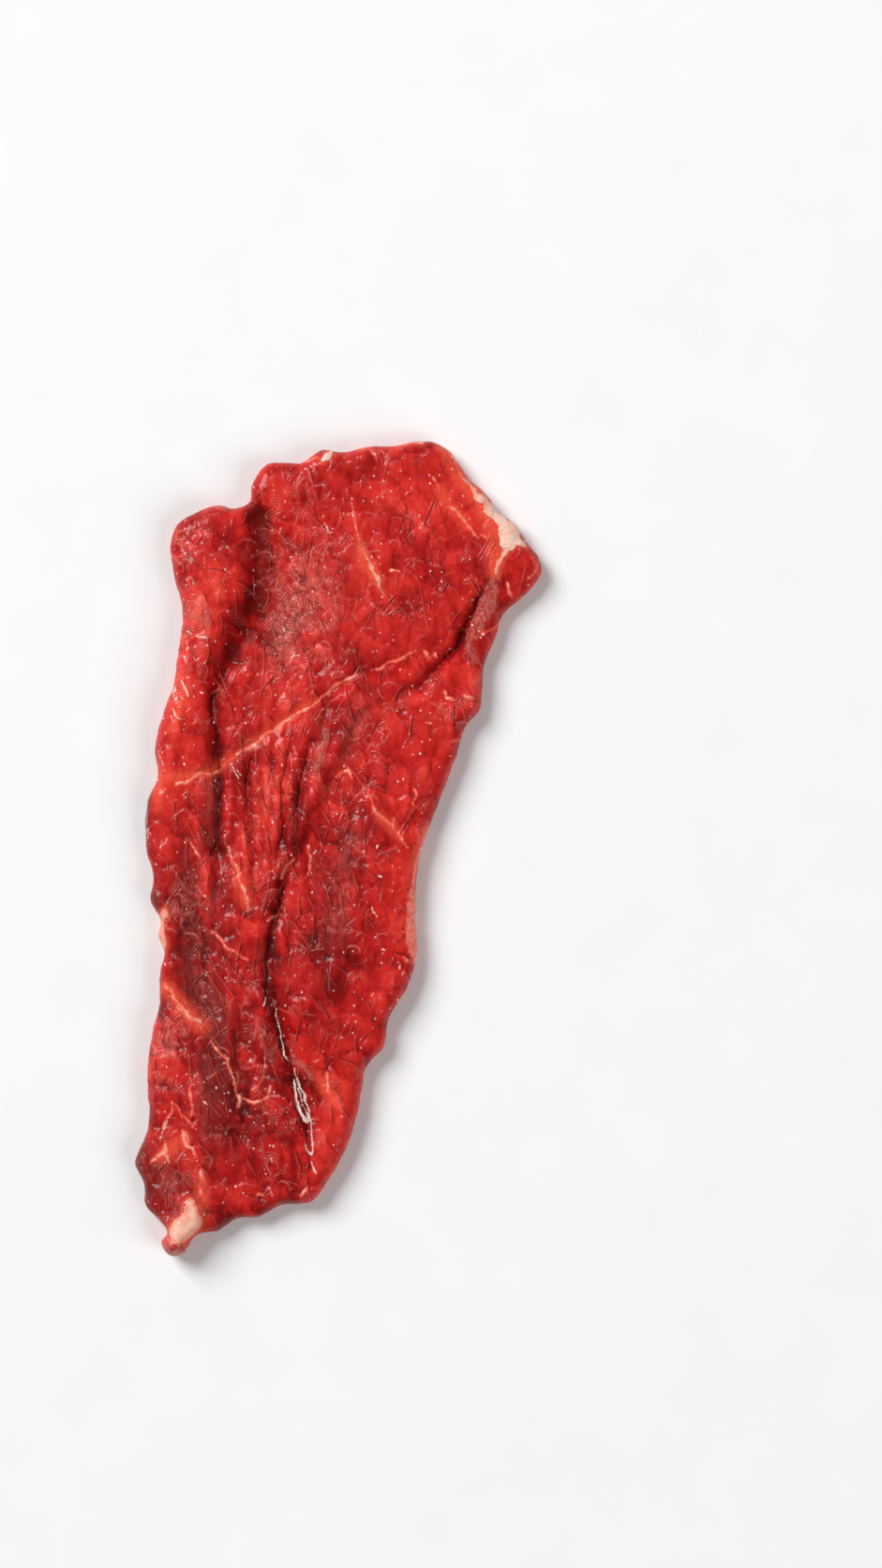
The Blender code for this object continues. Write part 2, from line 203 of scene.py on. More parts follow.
# Thin pale film and fine streaks, in the same form
FILM = [
    # seam across the slice
    [(-39.5, 15.8, 0.2), (-36.2, 16.8, 0.45), (-33.2, 18.6, 0.35), (-31.6, 18, 0.3), (-29.4, 18.9, 0.25),
     (-27, 21.2, 0.2), (-24.2, 23.2, 0.25), (-20.6, 25.6, 0.45), (-18.2, 27.3, 0.3), (-15, 29.6, 0.35),
     (-12, 31.3, 0.35), (-9, 33.4, 0.3), (-6, 35.5, 0.4), (-4.6, 36.6, 0.25)],
    [(-4.6, 36.6, 0.12), (-1, 39.4, 0.2), (3, 41.6, 0.25), (4.6, 42.6, 0.1)],
    [(8.5, 43.6, 0.1), (12, 45, 0.18), (16, 46.8, 0.15), (19, 48.2, 0.1)],
    # bright hooks at its right end
    [(21.2, 48, 0.25), (22, 47.4, 0.4), (22.2, 46, 0.15)],
    [(23.8, 47.4, 0.3), (24.1, 46.3, 0.12)],
    # rim of the round muscle
    [(-8, 94.4, 0.1), (-6.4, 95.4, 0.15), (-4.6, 95.4, 0.2)],
    [(7.8, 97.6, 0.15), (8.8, 96.5, 0.2), (9.6, 96.4, 0.12)],
    [(10, 98.7, 0.12), (13, 98.4, 0.2), (16.5, 98.8, 0.2)],
    [(24.5, 99.3, 0.15), (26.6, 97.6, 0.25), (28.6, 94.6, 0.3), (29.5, 92.5, 0.25)],
    # orange streak left of the cap
    [(23.2, 90.7, 0.1), (24.2, 89.3, 0.15), (24.9, 87.5, 0.15)],
    [(26.2, 83.3, 0.15), (28.2, 82.6, 0.25), (29.4, 81.7, 0.3), (31, 79.4, 0.2), (33, 77, 0.2),
     (34.2, 75.8, 0.1)],
    [(34.8, 76.4, 0.2), (35.8, 75.9, 0.25)],
    # upper end of the middle streak, and dashes beside it
    [(3.1, 84.3, 0.1), (4, 82, 0.12), (4.5, 78.8, 0.1), (4.8, 76.5, 0.12)],
    [(12.9, 67.7, 0.12), (14.8, 67.5, 0.22)],
    [(7.9, 59.6, 0.1), (9.3, 58.8, 0.15)],
    # pale lines on the flap
    [(41.4, 65.2, 0.2), (41.6, 62.6, 0.25), (42.4, 61.2, 0.12)],
    [(47.6, 71, 0.2), (48.6, 69.4, 0.25), (48.4, 67.2, 0.2), (46.6, 65.8, 0.1)],
    [(35, 52.6, 0.15), (38, 53.8, 0.2), (40, 55.8, 0.15)],
    # dashes near the head of the tongue
    [(31, 37, 0.25), (33, 37.1, 0.3)],
    [(26.2, 38.6, 0.2), (26.4, 36.4, 0.25), (28.4, 35.8, 0.1)],
    [(21.2, 31, 0.12), (22.6, 30.9, 0.2)],
    [(27.4, 26.2, 0.2), (29.2, 26.6, 0.12)],
    # branched streak in the tongue
    [(7.4, 13.6, 0.1), (8.6, 9.8, 0.2), (9.4, 8.4, 0.35), (11.2, 6.9, 0.35), (12.8, 6.2, 0.25),
     (14, 4.9, 0.25), (15.6, 2.6, 0.2), (17, 0.6, 0.1)],
    [(13.2, 6.1, 0.15), (13.9, 7.4, 0.1)],
    [(18.6, 14.8, 0.1), (19.3, 12.6, 0.2), (18.5, 10.4, 0.1)],
    # star at the tongue's left side
    [(-0.4, 17.6, 0.12), (1.4, 18.8, 0.2), (2.8, 19.6, 0.25), (3.2, 18.2, 0.2), (3.8, 17.2, 0.1)],
    # streaks in the long fibres
    [(-26.8, 0.6, 0.15), (-26.2, -1.6, 0.25), (-25, -4.5, 0.45), (-24.2, -6.6, 0.35), (-23.2, -8.8, 0.55),
     (-22.6, -11, 0.4), (-22, -13, 0.3), (-21.8, -15, 0.12)],
    [(-31.2, -20, 0.12), (-28.8, -21.8, 0.2), (-26.8, -24, 0.3), (-24.4, -25.6, 0.2), (-22.2, -27.4, 0.12)],
    [(-13.8, -6.9, 0.25), (-12.6, -4.2, 0.15), (-10.6, -2.6, 0.1)],
    [(-16.9, -17.5, 0.12), (-16.4, -16.5, 0.22), (-14.8, -16, 0.1)],
    [(-7.2, 1.2, 0.15), (-7.1, -2, 0.2), (-7, -5, 0.25), (-7.6, -6, 0.1)],
    # pale web in the near left muscle
    [(-42.6, -33.0, 0.12), (-41.4, -34.2, 0.3), (-39.6, -36.6, 0.25), (-38.2, -38.8, 0.35),
     (-36.4, -41.2, 0.25),
     (-34.2, -42.2, 0.35), (-33, -43.4, 0.12)],
    [(-31, -47, 0.12), (-28.8, -50.2, 0.25), (-27.2, -51.6, 0.4), (-26.4, -53.6, 0.25), (-25.4, -56.6, 0.15),
     (-24.4, -59, 0.2), (-23.8, -61, 0.4), (-24.2, -63.2, 0.15)],
    [(-23.8, -61, 0.15), (-20.4, -61.8, 0.3), (-18.2, -61.4, 0.2), (-16.8, -60, 0.12), (-16.4, -57.6, 0.08)],
    [(-17.6, -50.5, 0.08), (-17.8, -54, 0.12), (-18.8, -56.8, 0.12), (-21, -58.8, 0.1)],
    [(-36, -56, 0.08), (-36, -59.6, 0.2), (-35.8, -65.5, 0.08)],
    [(-40.1, -61.5, 0.08), (-41.2, -65.6, 0.12)],
    [(-39.6, -62, 0.08), (-37.8, -65, 0.12), (-35.6, -68, 0.12), (-34.4, -66.2, 0.08)],
    # short streak left of the long fibres
    [(-36.2, 1.6, 0.08), (-34.8, -0.2, 0.16), (-33.4, -2.6, 0.08)],
    # loop, star and streaks near the corner
    [(-38.2, -68.4, 0.2), (-37.6, -71, 0.3), (-36.8, -72.8, 0.35), (-35.4, -73.4, 0.2), (-34.2, -75.4, 0.25)],
    [(-37.2, -68.8, 0.12), (-36.6, -70.8, 0.15), (-36.8, -72.4, 0.2)],
    [(-42.2, -71.6, 0.2), (-42, -74.2, 0.6), (-44.4, -75.6, 0.3), (-45.8, -77.0, 0.12)],
    [(-41.8, -74.6, 0.35), (-40.9, -76.4, 0.12)],
    [(-33.6, -78.2, 0.5), (-33.4, -79.4, 0.25), (-33.6, -81.6, 0.2), (-33, -84.6, 0.15)],
    [(-40.6, -64.4, 0.1), (-42.6, -67.4, 0.18), (-43.6, -70.4, 0.1)],
    # pale thread below the middle
    [(-2.7, -54.8, 0.12), (-2.6, -57.6, 0.3), (-2.9, -59.2, 0.6), (-2.2, -59.8, 0.2)],
    [(-19.8, -84.6, 0.12), (-19.2, -84.1, 0.25), (-18, -84.8, 0.12)],
    [(-16.8, -82.2, 0.1), (-15.9, -84.4, 0.2)],
    [(-9, -84.6, 0.12), (-8, -83, 0.25), (-7.4, -82.2, 0.1)],
    # notch at the tongue's right edge
    [(16, -26.6, 0.2), (17, -27, 0.35), (19.2, -28.4, 0.2)],
]

# Wet highlights, in the same form
GLEAM = [
    # along the low side of the tongue
    [(-15.3, -39.2, 0.06), (-14.9, -42, 0.1), (-14.2, -45, 0.12), (-13.2, -48.6, 0.18), (-12.5, -50.6, 0.26),
     (-12.0, -51.6, 0.2)],
    [(-10.5, -53.4, 0.12), (-10.2, -54.8, 0.34), (-9.4, -56.4, 0.3), (-8.9, -58.4, 0.2), (-8.2, -60.6, 0.26),
     (-7.4, -63.2, 0.22), (-6.9, -66.2, 0.2)],
    [(-10.4, -56, 0.2), (-10.5, -58.4, 0.22), (-10.5, -60.8, 0.3), (-9.7, -63.2, 0.4), (-8.6, -65, 0.36),
     (-7.4, -66.4, 0.44)],
    [(-9.8, -58.2, 0.12), (-9.4, -60, 0.26), (-9.0, -61.8, 0.12)],
    [(-8.8, -62.6, 0.16), (-7.9, -64.2, 0.3), (-7.1, -65.8, 0.2)],
    [(-6.8, -66.8, 0.16), (-6.5, -69.6, 0.16), (-6.3, -72.6, 0.14), (-6.3, -75, 0.2)],
    [(-7.6, -71.6, 0.2), (-7.4, -73, 0.34), (-6.6, -74.6, 0.2)],
    [(-6.2, -76.2, 0.12), (-5.9, -77.6, 0.2), (-5.5, -79, 0.12)],
    # hooks and loops on the left lobes
    [(-37.2, 53.2, 0.12), (-36.6, 52.6, 0.22), (-35.8, 52, 0.12)],
    [(-34.6, 52, 0.1), (-33.4, 51.6, 0.14), (-32.6, 51.8, 0.18), (-32.1, 51, 0.1)],
    [(-36.8, 51.4, 0.1), (-36.6, 49.9, 0.12)],
    [(-36.9, 48.2, 0.1), (-36.1, 49, 0.18)],
    [(-38.3, 46.8, 0.1), (-37.6, 46.6, 0.22), (-37.2, 45.6, 0.1)],
    [(-35.2, 46.8, 0.1), (-34.9, 46.2, 0.14), (-34.2, 46, 0.12), (-33.8, 46.6, 0.08)],
    [(-38.2, 41.6, 0.1), (-37.4, 39.8, 0.14), (-36.7, 38, 0.22), (-36.6, 37, 0.08)],
    [(-40.5, 38.2, 0.1), (-39.9, 39.4, 0.18), (-39.5, 38.2, 0.12), (-39.1, 36.4, 0.12), (-39.8, 36.5, 0.1),
     (-40.4, 38.2, 0.1)],
    [(-40.3, 34.4, 0.1), (-39.9, 32.6, 0.18), (-39, 31.9, 0.14), (-38.4, 31.8, 0.1)],
    [(-44, 25.8, 0.1), (-43.2, 24.2, 0.18), (-42.8, 23.2, 0.1)],
    [(-43.8, 24, 0.1), (-43.4, 22, 0.14), (-42.6, 20.3, 0.14)],
    [(-33.4, 38.4, 0.14), (-32.9, 38.1, 0.22)],
    [(-38.4, 73.6, 0.08), (-37.2, 72.2, 0.2)],
    # beside the seam
    [(-25.9, 19.9, 0.1), (-25.2, 18.6, 0.12), (-24.2, 17.4, 0.18)],
    [(-25, 19.4, 0.1), (-24.1, 19, 0.18), (-23.6, 18.2, 0.1)],
    # crinkled patch
    [(-13.8, 54.4, 0.08), (-12.9, 52.8, 0.18)],
    [(-3, 79, 0.1), (-2.4, 77.6, 0.22), (-1.6, 77.4, 0.1)],
    [(-11.6, 45.6, 0.1), (-10.6, 47, 0.16), (-9.4, 47.2, 0.12)],
    # torn skin and edge on the left, and the corner
    [(-46.5, 5.4, 0.12), (-46.2, 4, 0.25), (-46.1, 2.4, 0.1)],
    [(-43.2, 2, 0.1), (-43.4, 0.2, 0.1)],
    [(-17.4, -36.4, 0.12), (-18, -38.2, 0.14)],
    [(-41.3, -66.3, 0.14), (-42.6, -68.2, 0.12), (-43.4, -70.6, 0.08)],
    [(-32.7, -61.5, 0.2), (-32.3, -62.2, 0.2)],
    [(-44.4, -90.4, 0.12), (-43.6, -91.6, 0.14)],
    [(-42, -91.2, 0.14), (-41.2, -89.6, 0.1)],
    [(-41.4, -94.6, 0.2), (-40.8, -95.6, 0.14), (-39, -96.4, 0.1), (-37.4, -97, 0.1)],
    # tongue
    [(9.5, 0.9, 0.3), (9.2, 0.1, 0.15)],
    [(8.1, -14, 0.1), (8.7, -15.3, 0.18), (9.6, -15.4, 0.12), (9.9, -16.6, 0.1)],
    [(9.4, -21, 0.2), (9.2, -21.8, 0.22)],
    [(10.8, -24.4, 0.2), (11.3, -24.5, 0.25)],
    [(15.1, -28.4, 0.2), (15.1, -29.2, 0.2)],
    [(15.4, -30.5, 0.25), (16.2, -29.9, 0.1)],
]

# Crevices, cut into the mesh and darkened with painted shade, in the same form
CREVICE = [
    # low side of the tongue
    [(-13.6, -9, 0.1), (-15.2, -15, 0.15), (-16.9, -22, 0.25), (-17.4, -27, 0.4), (-17.5, -31, 0.35),
     (-17.2, -36, 0.2), (-16, -40, 0.25), (-14.6, -45, 0.15), (-12.9, -50, 0.15)],
    [(-10.9, -55, 0.1), (-10.8, -60, 0.3), (-9.6, -64, 0.3), (-8, -68, 0.25), (-7.2, -73, 0.2),
     (-6.8, -78, 0.1)],
    # crease that carries on the valley
    [(-30.6, 37, 0.1), (-31.1, 34.5, 0.4), (-30.4, 31, 0.4), (-29.2, 26, 0.25), (-29, 22, 0.2),
     (-28.8, 18, 0.25),
     (-28.4, 12, 0.2), (-28.9, 6, 0.2), (-30, 1, 0.15), (-31, -1.5, 0.1)],
    # round muscle over the flap
    [(35.4, 63.6, 0.1), (33.8, 59.6, 0.15), (32.6, 56.6, 0.25), (31, 54, 0.4), (30.2, 51, 0.4),
     (29.2, 49, 0.2),
     (26.6, 47, 0.15), (24.8, 44.8, 0.1)],
    # between the fibres
    [(-21.4, 22, -0.05), (-22.3, 15, 0.06), (-21.8, 6, -0.05)],
    [(-12, 24, -0.05), (-13.8, 14, 0.12), (-13.4, 4, 0.1), (-15.4, -4, 0)],
    [(-7.6, 24, -0.05), (-9, 16, 0.08), (-10.4, 8, -0.05)],
    # notch at the tongue's right edge, and small holes
    [(14.4, -25.6, 0.1), (16.4, -25.9, 0.12), (17.6, -26.8, 0.15), (19.2, -27.9, 0.2)],
    [(-35.6, -66, 0.25), (-35.1, -67, 0.25)],
    [(-23.4, -63.4, 0.15), (-23.2, -66.6, 0.2)],
    [(-16.4, 70, 0.1), (-15.6, 68, 0.15)],
]

# Greyish pink, see-through membrane, in the same form
VEIL = [
    # strip between the fibres
    [(-3.0, 28.8, 0.9), (-3.6, 26, 1.2), (-4.4, 23, 1.2), (-4.9, 20, 1.0), (-4.7, 17.4, 0.6),
     (-4.8, 15.5, 0.2)],
    # membrane at the tongue's low side
    [(-11.4, -48.4, 0.3), (-10.4, -51.6, 0.9), (-8, -53.6, 0.8), (-6.4, -56, 0.3)],
    # soft end of the nub
    [(-41.6, -96.4, 1.2), (-40.4, -98.0, 2.0), (-38.6, -98.4, 1.0)],
    # round muscle's edge above the cap, and the flap
    [(32.2, 91, 0.6), (35, 88, 0.9), (37.2, 85.4, 0.6)],
    [(38.6, 66.4, 1.0), (37.4, 62.6, 1.9), (36.2, 58.8, 2.3), (34.4, 55, 2.0), (32.8, 51.6, 1.2)],
    [(32.2, 50.2, 0.5), (32.4, 48.6, 1.3), (33.2, 46.4, 1.2)],
]

# Pale pink cut faces, in the same form
FACE = [
    [(21.4, 3.6, 0.15), (20.6, 0.8, 0.22), (19.4, -2.6, 0.28), (18.8, -5.6, 0.3), (18.4, -8.8, 0.35),
     (18, -11.4, 0.85), (18, -14.4, 1.05), (18.1, -17.4, 1.3), (18, -20.4, 1.5),
     (18.1, -23.0, 1.5), (18.5, -25.4, 1.0), (19.1, -27.8, 0.5), (19.8, -30.4, 0.1)],
    # soft band of the web in the near left muscle
    [(-42.4, -33, 0.4), (-40.6, -35, 0.4), (-39, -38, 0.4), (-37, -40.6, 0.4), (-34.6, -42, 0.5),
     (-33, -43.6, 0.2)],
]

# Thin, dusky, see-through parts of the rim, in the same form
THIN = [
    # corner bulge
    [(-46.8, -66.0, 0.4), (-47.8, -70.0, 0.8), (-48.6, -73.6, 1.5), (-48.8, -77, 1.8), (-47.8, -80.6, 1.3),
     (-47.2, -84, 0.6)],
    # bulb on the left edge and torn skin above it
    [(-45.2, -10.2, 0.8), (-44.7, -12.2, 1.7), (-44.4, -14.0, 0.9)],
    [(-45.2, 18, 0.3), (-46, 14, 0.7), (-46.9, 9, 1.0), (-47.2, 4, 0.7), (-47.2, -1, 0.5)],
]

# Torn, greyish skin on the left edge, in the same form
SKIN = [[(-47.0, 10.6, 0.3), (-47.4, 8.4, 0.7), (-47.2, 5.6, 0.5), (-46.8, 3.4, 0.2)]]

# Warm glow of fat that lies just under the surface, in the same form
GLOW = [
    [(25, 98.4, 0.6), (27.6, 95.6, 1.3), (30, 91.6, 1.8), (32.4, 88, 1.6), (34.6, 84.8, 1.4), (37.4, 79, 1.2),
     (38.4, 75, 1.3), (38.4, 71, 1.4), (38, 67.6, 1.0)],
    [(24.8, 87.6, 0.5), (26.4, 84.4, 1.0), (28.6, 82.6, 0.7), (31.6, 78.8, 0.4)],
    [(4.8, 73.6, 0.3), (6, 70.6, 1.3), (7.8, 68.2, 0.9), (9, 65.8, 0.4)],
    [(-42, 17.4, 1.0), (-37, 17.6, 0.8), (-33.4, 18.8, 0.5), (-31, 18.6, 0.6), (-20, 26.6, 0.3),
     (-6, 36, 0.3)],
    [(-25.2, -5, 0.4), (-23.4, -9, 0.8), (-22.2, -13, 0.8)],
    [(-42, -34, 1.2), (-39, -37.4, 1.4), (-36, -41.2, 1.3), (-33, -43.4, 1.1)],
    [(10, 8, 0.4), (12.8, 5.6, 0.7), (15.4, 2.8, 0.4)],
    [(22, 4.6, 0.6), (20, -0.6, 0.8), (17.6, -5, 0.4)],
    [(-4.6, -55.6, 0.4), (-2.8, -58.8, 0.9), (-0.6, -62, 0.4)],
    [(-37.4, -70.6, 0.9), (-41.8, -73.8, 0.8), (-44, -75.4, 0.5)],
    [(-33.6, -80, 0.7), (-33, -85, 0.7), (-33.4, -91, 1.0)],
    # left lobe
    [(-38.6, 42, 0.5), (-37.6, 38, 0.8), (-39, 33, 0.7), (-40.5, 29, 0.5)],
    [(-42.8, 20, 0.4), (-43.4, 15, 0.8), (-43.8, 10, 0.4)],
    [(-30, 64.5, 0.5), (-29, 62, 0.5)],
]

# What the material reads: strokes that wander, which the mesh follows, and steady ones
WANDERING = {"fat": FAT, "film": FILM, "gleam": GLEAM, "crevice": CREVICE}
STEADY = {"skin": SKIN, "face": FACE, "thin": THIN, "veil": VEIL, "glow": GLOW}
MESHED = FAT + FILM + GLEAM + CREVICE
# How the strokes wander: reach, size, noise layer. Their widths: middle, swing, size, noise layer
WANDER = [(0.6, 2.8, 61), (0.25, 1.1, 64)]
WIDTHS = (0.8, 0.9, 1.8, 63)

# Broad patches of tone: centre, half length, half width, turn in degrees, lightening (darkening below 0)
TONES = [
    # bright muscles
    ((20, 22), 22, 9, 68, 0.26),
    ((-38, 32), 16, 6, 100, 0.46),
    ((-43, 14), 7, 3, 98, 0.24),
    ((-33, 56), 12, 6, 80, 0.36),
    ((26, 88), 12, 8, -40, 0.24),
    ((10, 52), 16, 7, 10, 0.14),
    ((-2, -68), 14, 4, 66, 0.36),
    ((15, -18), 14, 4, 82, 0.26),
    ((-22, 6), 14, 5, 88, 0.30),
    ((-18, 37), 14, 5, 35, 0.16),
    ((-14, 92), 8, 4, 10, 0.20),
    ((-20, -87), 12, 3, -8, 0.10),
    ((2.5, -68), 14, 3.0, 68, 0.30),
    ((-31, 67), 10, 5, 80, 0.32),
    ((-7, 56), 10, 6, 70, 0.04),
    ((-15, 12), 15, 5, 86, 0.66),
    ((12, 78), 18, 14, 90, 0.26),
    ((27, 43.5), 4, 3, 20, 0.30),
    ((-1, -62), 10, 3.4, 70, 0.24),
    # darker patches: painted shade in the valley, creases and hollows, and darker lean
    ((-18.5, 74), 12, 3.4, 92, -0.26),
    ((-19.4, 60), 9, 3.5, 80, -0.18),
    ((-30.5, 34), 8, 2.2, 92, -0.18),
    ((-31, 8), 13, 2.4, 92, -0.22),
    ((-27, 74), 6, 5, 90, -0.12),
    ((20.5, 40), 5, 2.4, 10, -0.24),
    ((26, 47), 9, 1.6, 48, -0.18),
    ((31.5, 53), 6, 1.6, 64, -0.30),
    ((-9, 20), 14, 2.2, 80, -0.16),
    ((-12, 2), 10, 2.2, 78, -0.20),
    ((-16, -22), 14, 1.8, 96, -0.40),
    ((-14.6, -42), 14, 1.6, 106, -0.34),
    ((-7, -57.5), 4, 1.6, 130, -0.50),
    ((-37, -14), 12, 6, 86, -0.36),
    ((-32, -38), 16, 6, 104, -0.40),
    ((-28, -62), 14, 6, 96, -0.38),
    ((-41, -84), 11, 7, 120, -0.38),
    ((-20, -72), 16, 9, 96, -0.24),
    ((2, -4), 20, 6, 80, -0.28),
    ((1, -32), 16, 8, 72, -0.34),
    ((14, 60), 14, 8, 0, -0.06),
    ((-12, -64), 16, 3.5, 96, -0.26),
]

# Crinkled wet patches: centre, half length, half width, turn in degrees, strength
CRINKLES = [
    ((-9, 60), 15, 8, 70, 1.0),
    ((-7, 49), 6, 8, 0, 0.8),
    ((-35, 50), 12, 5, 92, 0.7),
    ((-41, -48), 10, 5, 92, 0.9),
    ((-36, 68), 9, 4, 96, 0.4),
    ((-17, -54), 24, 5, 95, 0.3),
    ((-38, -84), 8, 6, 100, 0.6),
    ((30, 34), 6, 4, 60, 0.5),
    ((-37, -16), 9, 5, 80, 0.6),
    ((-12, 84), 9, 6, 60, 0.4),
    ((23, 19), 8, 4, 60, 0.2),
]

# Brownish patches: see-through lean, and painted shade in the valley and creases, in the form of the tones
DUSK = [
    ((-18.6, 72), 15, 3.0, 92, 0.9),
    ((-33, 70), 6, 3, 90, 0.3),
    ((-30.5, 10), 9, 2.0, 92, 0.8),
    ((-37, -2), 9, 3.4, 92, 0.6),
    ((-37.6, -13.5), 7, 3.6, 98, 1.0),
    ((-34.5, -35), 9, 3.6, 105, 1.0),
    ((-29, -42), 8, 3, 100, 0.6),
    ((-31.5, -60), 14, 3.4, 92, 0.9),
    ((-26, -52), 8, 2.4, 80, 0.6),
    ((-44, -78), 9, 4, 100, 0.5),
    ((-36, -81), 7, 4, 60, 0.3),
    ((2.6, -4), 10, 3, 84, 0.4),
    ((-13, -44), 12, 1.6, 106, 0.4),
]

# Pinkish haze: thin membrane, and painted sheen on the wet crinkles, in the form of the tones
HAZE = [
    ((4.2, 30), 9, 2.2, 68, 1.0),
    ((2.6, -3), 11, 3.4, 84, 0.9),
    ((0, -17), 5, 2.6, 90, 0.8),
    ((-13, 52), 9, 5, 78, 0.8),
    ((-9, 62), 9, 5, 70, 0.9),
    ((-2, 58), 8, 5, 70, 0.6),
    ((-31, 12), 9, 2, 92, 0.5),
    ((-35, -14), 9, 4, 95, 0.6),
    ((-33, -34), 9, 4, 105, 0.7),
    ((-32, -60), 12, 4, 92, 0.5),
    ((-42, -80), 9, 5, 110, 0.4),
    ((-42, -48), 9, 3, 92, 0.4),
]

# Smooth, calm parts with few lines, in the form of the tones
CALM = [
    ((-19, 72), 14, 3, 92, 0.3),
    ((21, 22), 16, 7, 68, 0.9),
    ((-40, 26), 12, 4, 96, 0.9),
    ((28, 86), 10, 5, -50, 0.9),
    ((-22, 34), 10, 5, 36, 0.7),
    ((-43, 10), 9, 2.6, 92, 0.8),
    ((-24, 6), 10, 2.6, 88, 0.6),
    ((14, -17), 12, 4, 84, 0.6),
    ((14, 50), 12, 6, 10, 0.9),
    ((-2, -70), 12, 4, 68, 0.5),
    ((-21, -80), 8, 5, 100, 0.5),
    ((-40, -22), 4, 3, 90, 0.8),
    ((-16, 90), 6, 4, 20, 0.6),
]

# Parts that aren't wet, in the form of the tones
MATT = [
    ((-21.6, 52), 5, 4, 60, 1.2),
    ((-6, 33.5), 8, 2.6, 32, 1.2),
    ((12, 43), 8, 2.6, 22, 1.0),
    ((33.5, 56), 9, 3, 62, 1.2),
    ((26, 44), 5, 3, 40, 1.0),
    ((3, -6), 12, 5, 84, 0.8),
    ((-36, -14), 8, 5, 90, 0.7),
    ((-18, 70), 15, 5, 90, 1.2),
    ((-30, 42), 8, 4, 90, 1.0),
    ((-12, -46), 14, 5, 106, 0.9),
]

# Whitest fat, in the form of the tones
WHITE_FAT = [((40.6, 77.6), 9, 5, -52, 1.2), ((-3, 96), 4, 3, 45, 1.0)]

# Long fibres that run the length of the slice: centre, half length, half width, turn, strength
FIBRES = [
    ((-17, 14), 20, 11, 88, 1.0),
    ((-31, -4), 24, 8, 92, 0.6),
    ((-24, -46), 30, 10, 96, 0.5),
    ((2, -12), 24, 8, 76, 0.3),
]

# Patches that the material reads, by name
PATCHES = {
    "crinkle": CRINKLES, "dusk": DUSK, "haze": HAZE, "calm": CALM, "matt": MATT, "white_fat": WHITE_FAT,
}

# Fine paths strewn over the surface: how many, length, bend in radians a millimetre, spread of
# their heading in degrees about that of the fibres, and how far they crowd into the patches
CURLS = {"count": 2900, "length": (1.0, 6.0), "bend": 1.3, "spread": 88, "crowding": 0.35, "seed": 5}
CREASES = {"count": 640, "length": (3.0, 9.0), "bend": 0.30, "spread": 55, "crowding": 0.30, "seed": 6}
FOLDS = {"count": 230, "length": (2.5, 6.0), "bend": 0.45, "spread": 70, "crowding": 0.92, "seed": 7}
STRANDS = {
    "count": 210, "length": (5.0, 16.0), "bend": 0.07, "spread": 40, "crowding": 0.9, "seed": 8,
    "patches": FIBRES,
}
PATH_STEP = 0.4
STREWN_MARGIN = 5.0
SPOTS_TRIED = 12
SPOTS_LIMIT = 0.8
CLUMP_SIZE = 9
FIBRE_HEADING = 96
FIBRE_HOLD = 0.7
# Stripes of the folds, and the share of folds whose stripes run along them
FOLD_HALF_WIDTH = 1.8
FOLD_SPACING = 0.72
FOLDS_ALONG = 0.6

# Fine relief, in millimetres. Flakes: size along X and Y, lean, height where the cut is smooth,
# how much more where it is crinkled, seed. Unevenness: height, size along X and Y, noise layer
FLAKES = [(5.4, 7.0, 2.0, 0.26, 0.16, 31), (2.5, 3.3, 1.6, 0.09, 0.22, 32)]
FLAKE_BEND = 0.45
FLAKE_SWIRL = 1.8
FLAKE_EDGE = 2.2
UNEVENNESS = (0.10, 3.4, 4.6, 36)
# Streaks along the fibres: size along X and Y and noise layer of the fine and the broad ones
STREAKS = ((1.8, 21.0, 33), (3.0, 17.0, 34))
STREAK_HEIGHT = 0.04
STREAK_IN_FIBRES = 0.55
CREASE_STEP = 0.20
CREASE_RUN = 1.6
STRAND_STEP = 0.12
STRAND_RUN = 0.8
# Amount, then how far inside the stroke's edge it starts and is full
CREVICE_DEPTH = (0.5, -0.5, 0.3)
FAT_SMOOTHING = (0.9, -0.3, 0.5)
FAT_RISE = (0.35, -0.1, 1.6)
FILM_RISE = (0.10, -0.2, 0.25)

# Painted shade in the hollows along the grooves: its width, as a share of theirs
HOLLOW_WIDTH = 0.8

# The photo's framing, and the camera, lamps and floor
PHOTO_SIZE = (941, 1672)
PHOTO_MM_PER_PIXEL = 0.2288
STEAK_CENTRE_PIXEL = (360.5, 905.0)
LENS = 120.0
SENSOR = 36.0
CLIP_START = 0.01
# Name, place, size, watts, whether it shows in gloss
LAMPS = [("key", (-2.56, 2.24, 3.04), 2.24, 230.0, True), ("fill", (3.20, -1.92, 2.88), 2.88, 102.0, False)]
WORLD_STRENGTH = 0.14
FLOOR_HALF = 3.0
FLOOR_GAP = 0.0002
FLOOR_GRAIN = 0.02


def smooth_loop(knots, step):
    """A closed curve through the knots, as points about step apart."""
    knots = np.array(knots, float)
    before, after = np.roll(knots, 1, axis=0), np.roll(knots, -1, axis=0)
    gap_back = np.linalg.norm(knots - before, axis=1, keepdims=True)
    gap_on = np.linalg.norm(after - knots, axis=1, keepdims=True)
    slope = (knots - before) / gap_back * gap_on + (after - knots) / gap_on * gap_back
    slope /= gap_back + gap_on
    points = []
    for i, start in enumerate(knots):
        j = (i + 1) % len(knots)
        count = max(8, math.ceil(gap_on[i, 0] * 4))
        t = np.linspace(0, 1, count, endpoint=False)[:, None]
        rise, fall = slope[i] * gap_on[i], slope[j] * gap_on[i]
        points.append(
            (2 * t**3 - 3 * t**2 + 1) * start
            + (t**3 - 2 * t**2 + t) * rise
            + (3 * t**2 - 2 * t**3) * knots[j]
            + (t**3 - t**2) * fall
        )
    return even_spacing(closed(np.concatenate(points)), step)


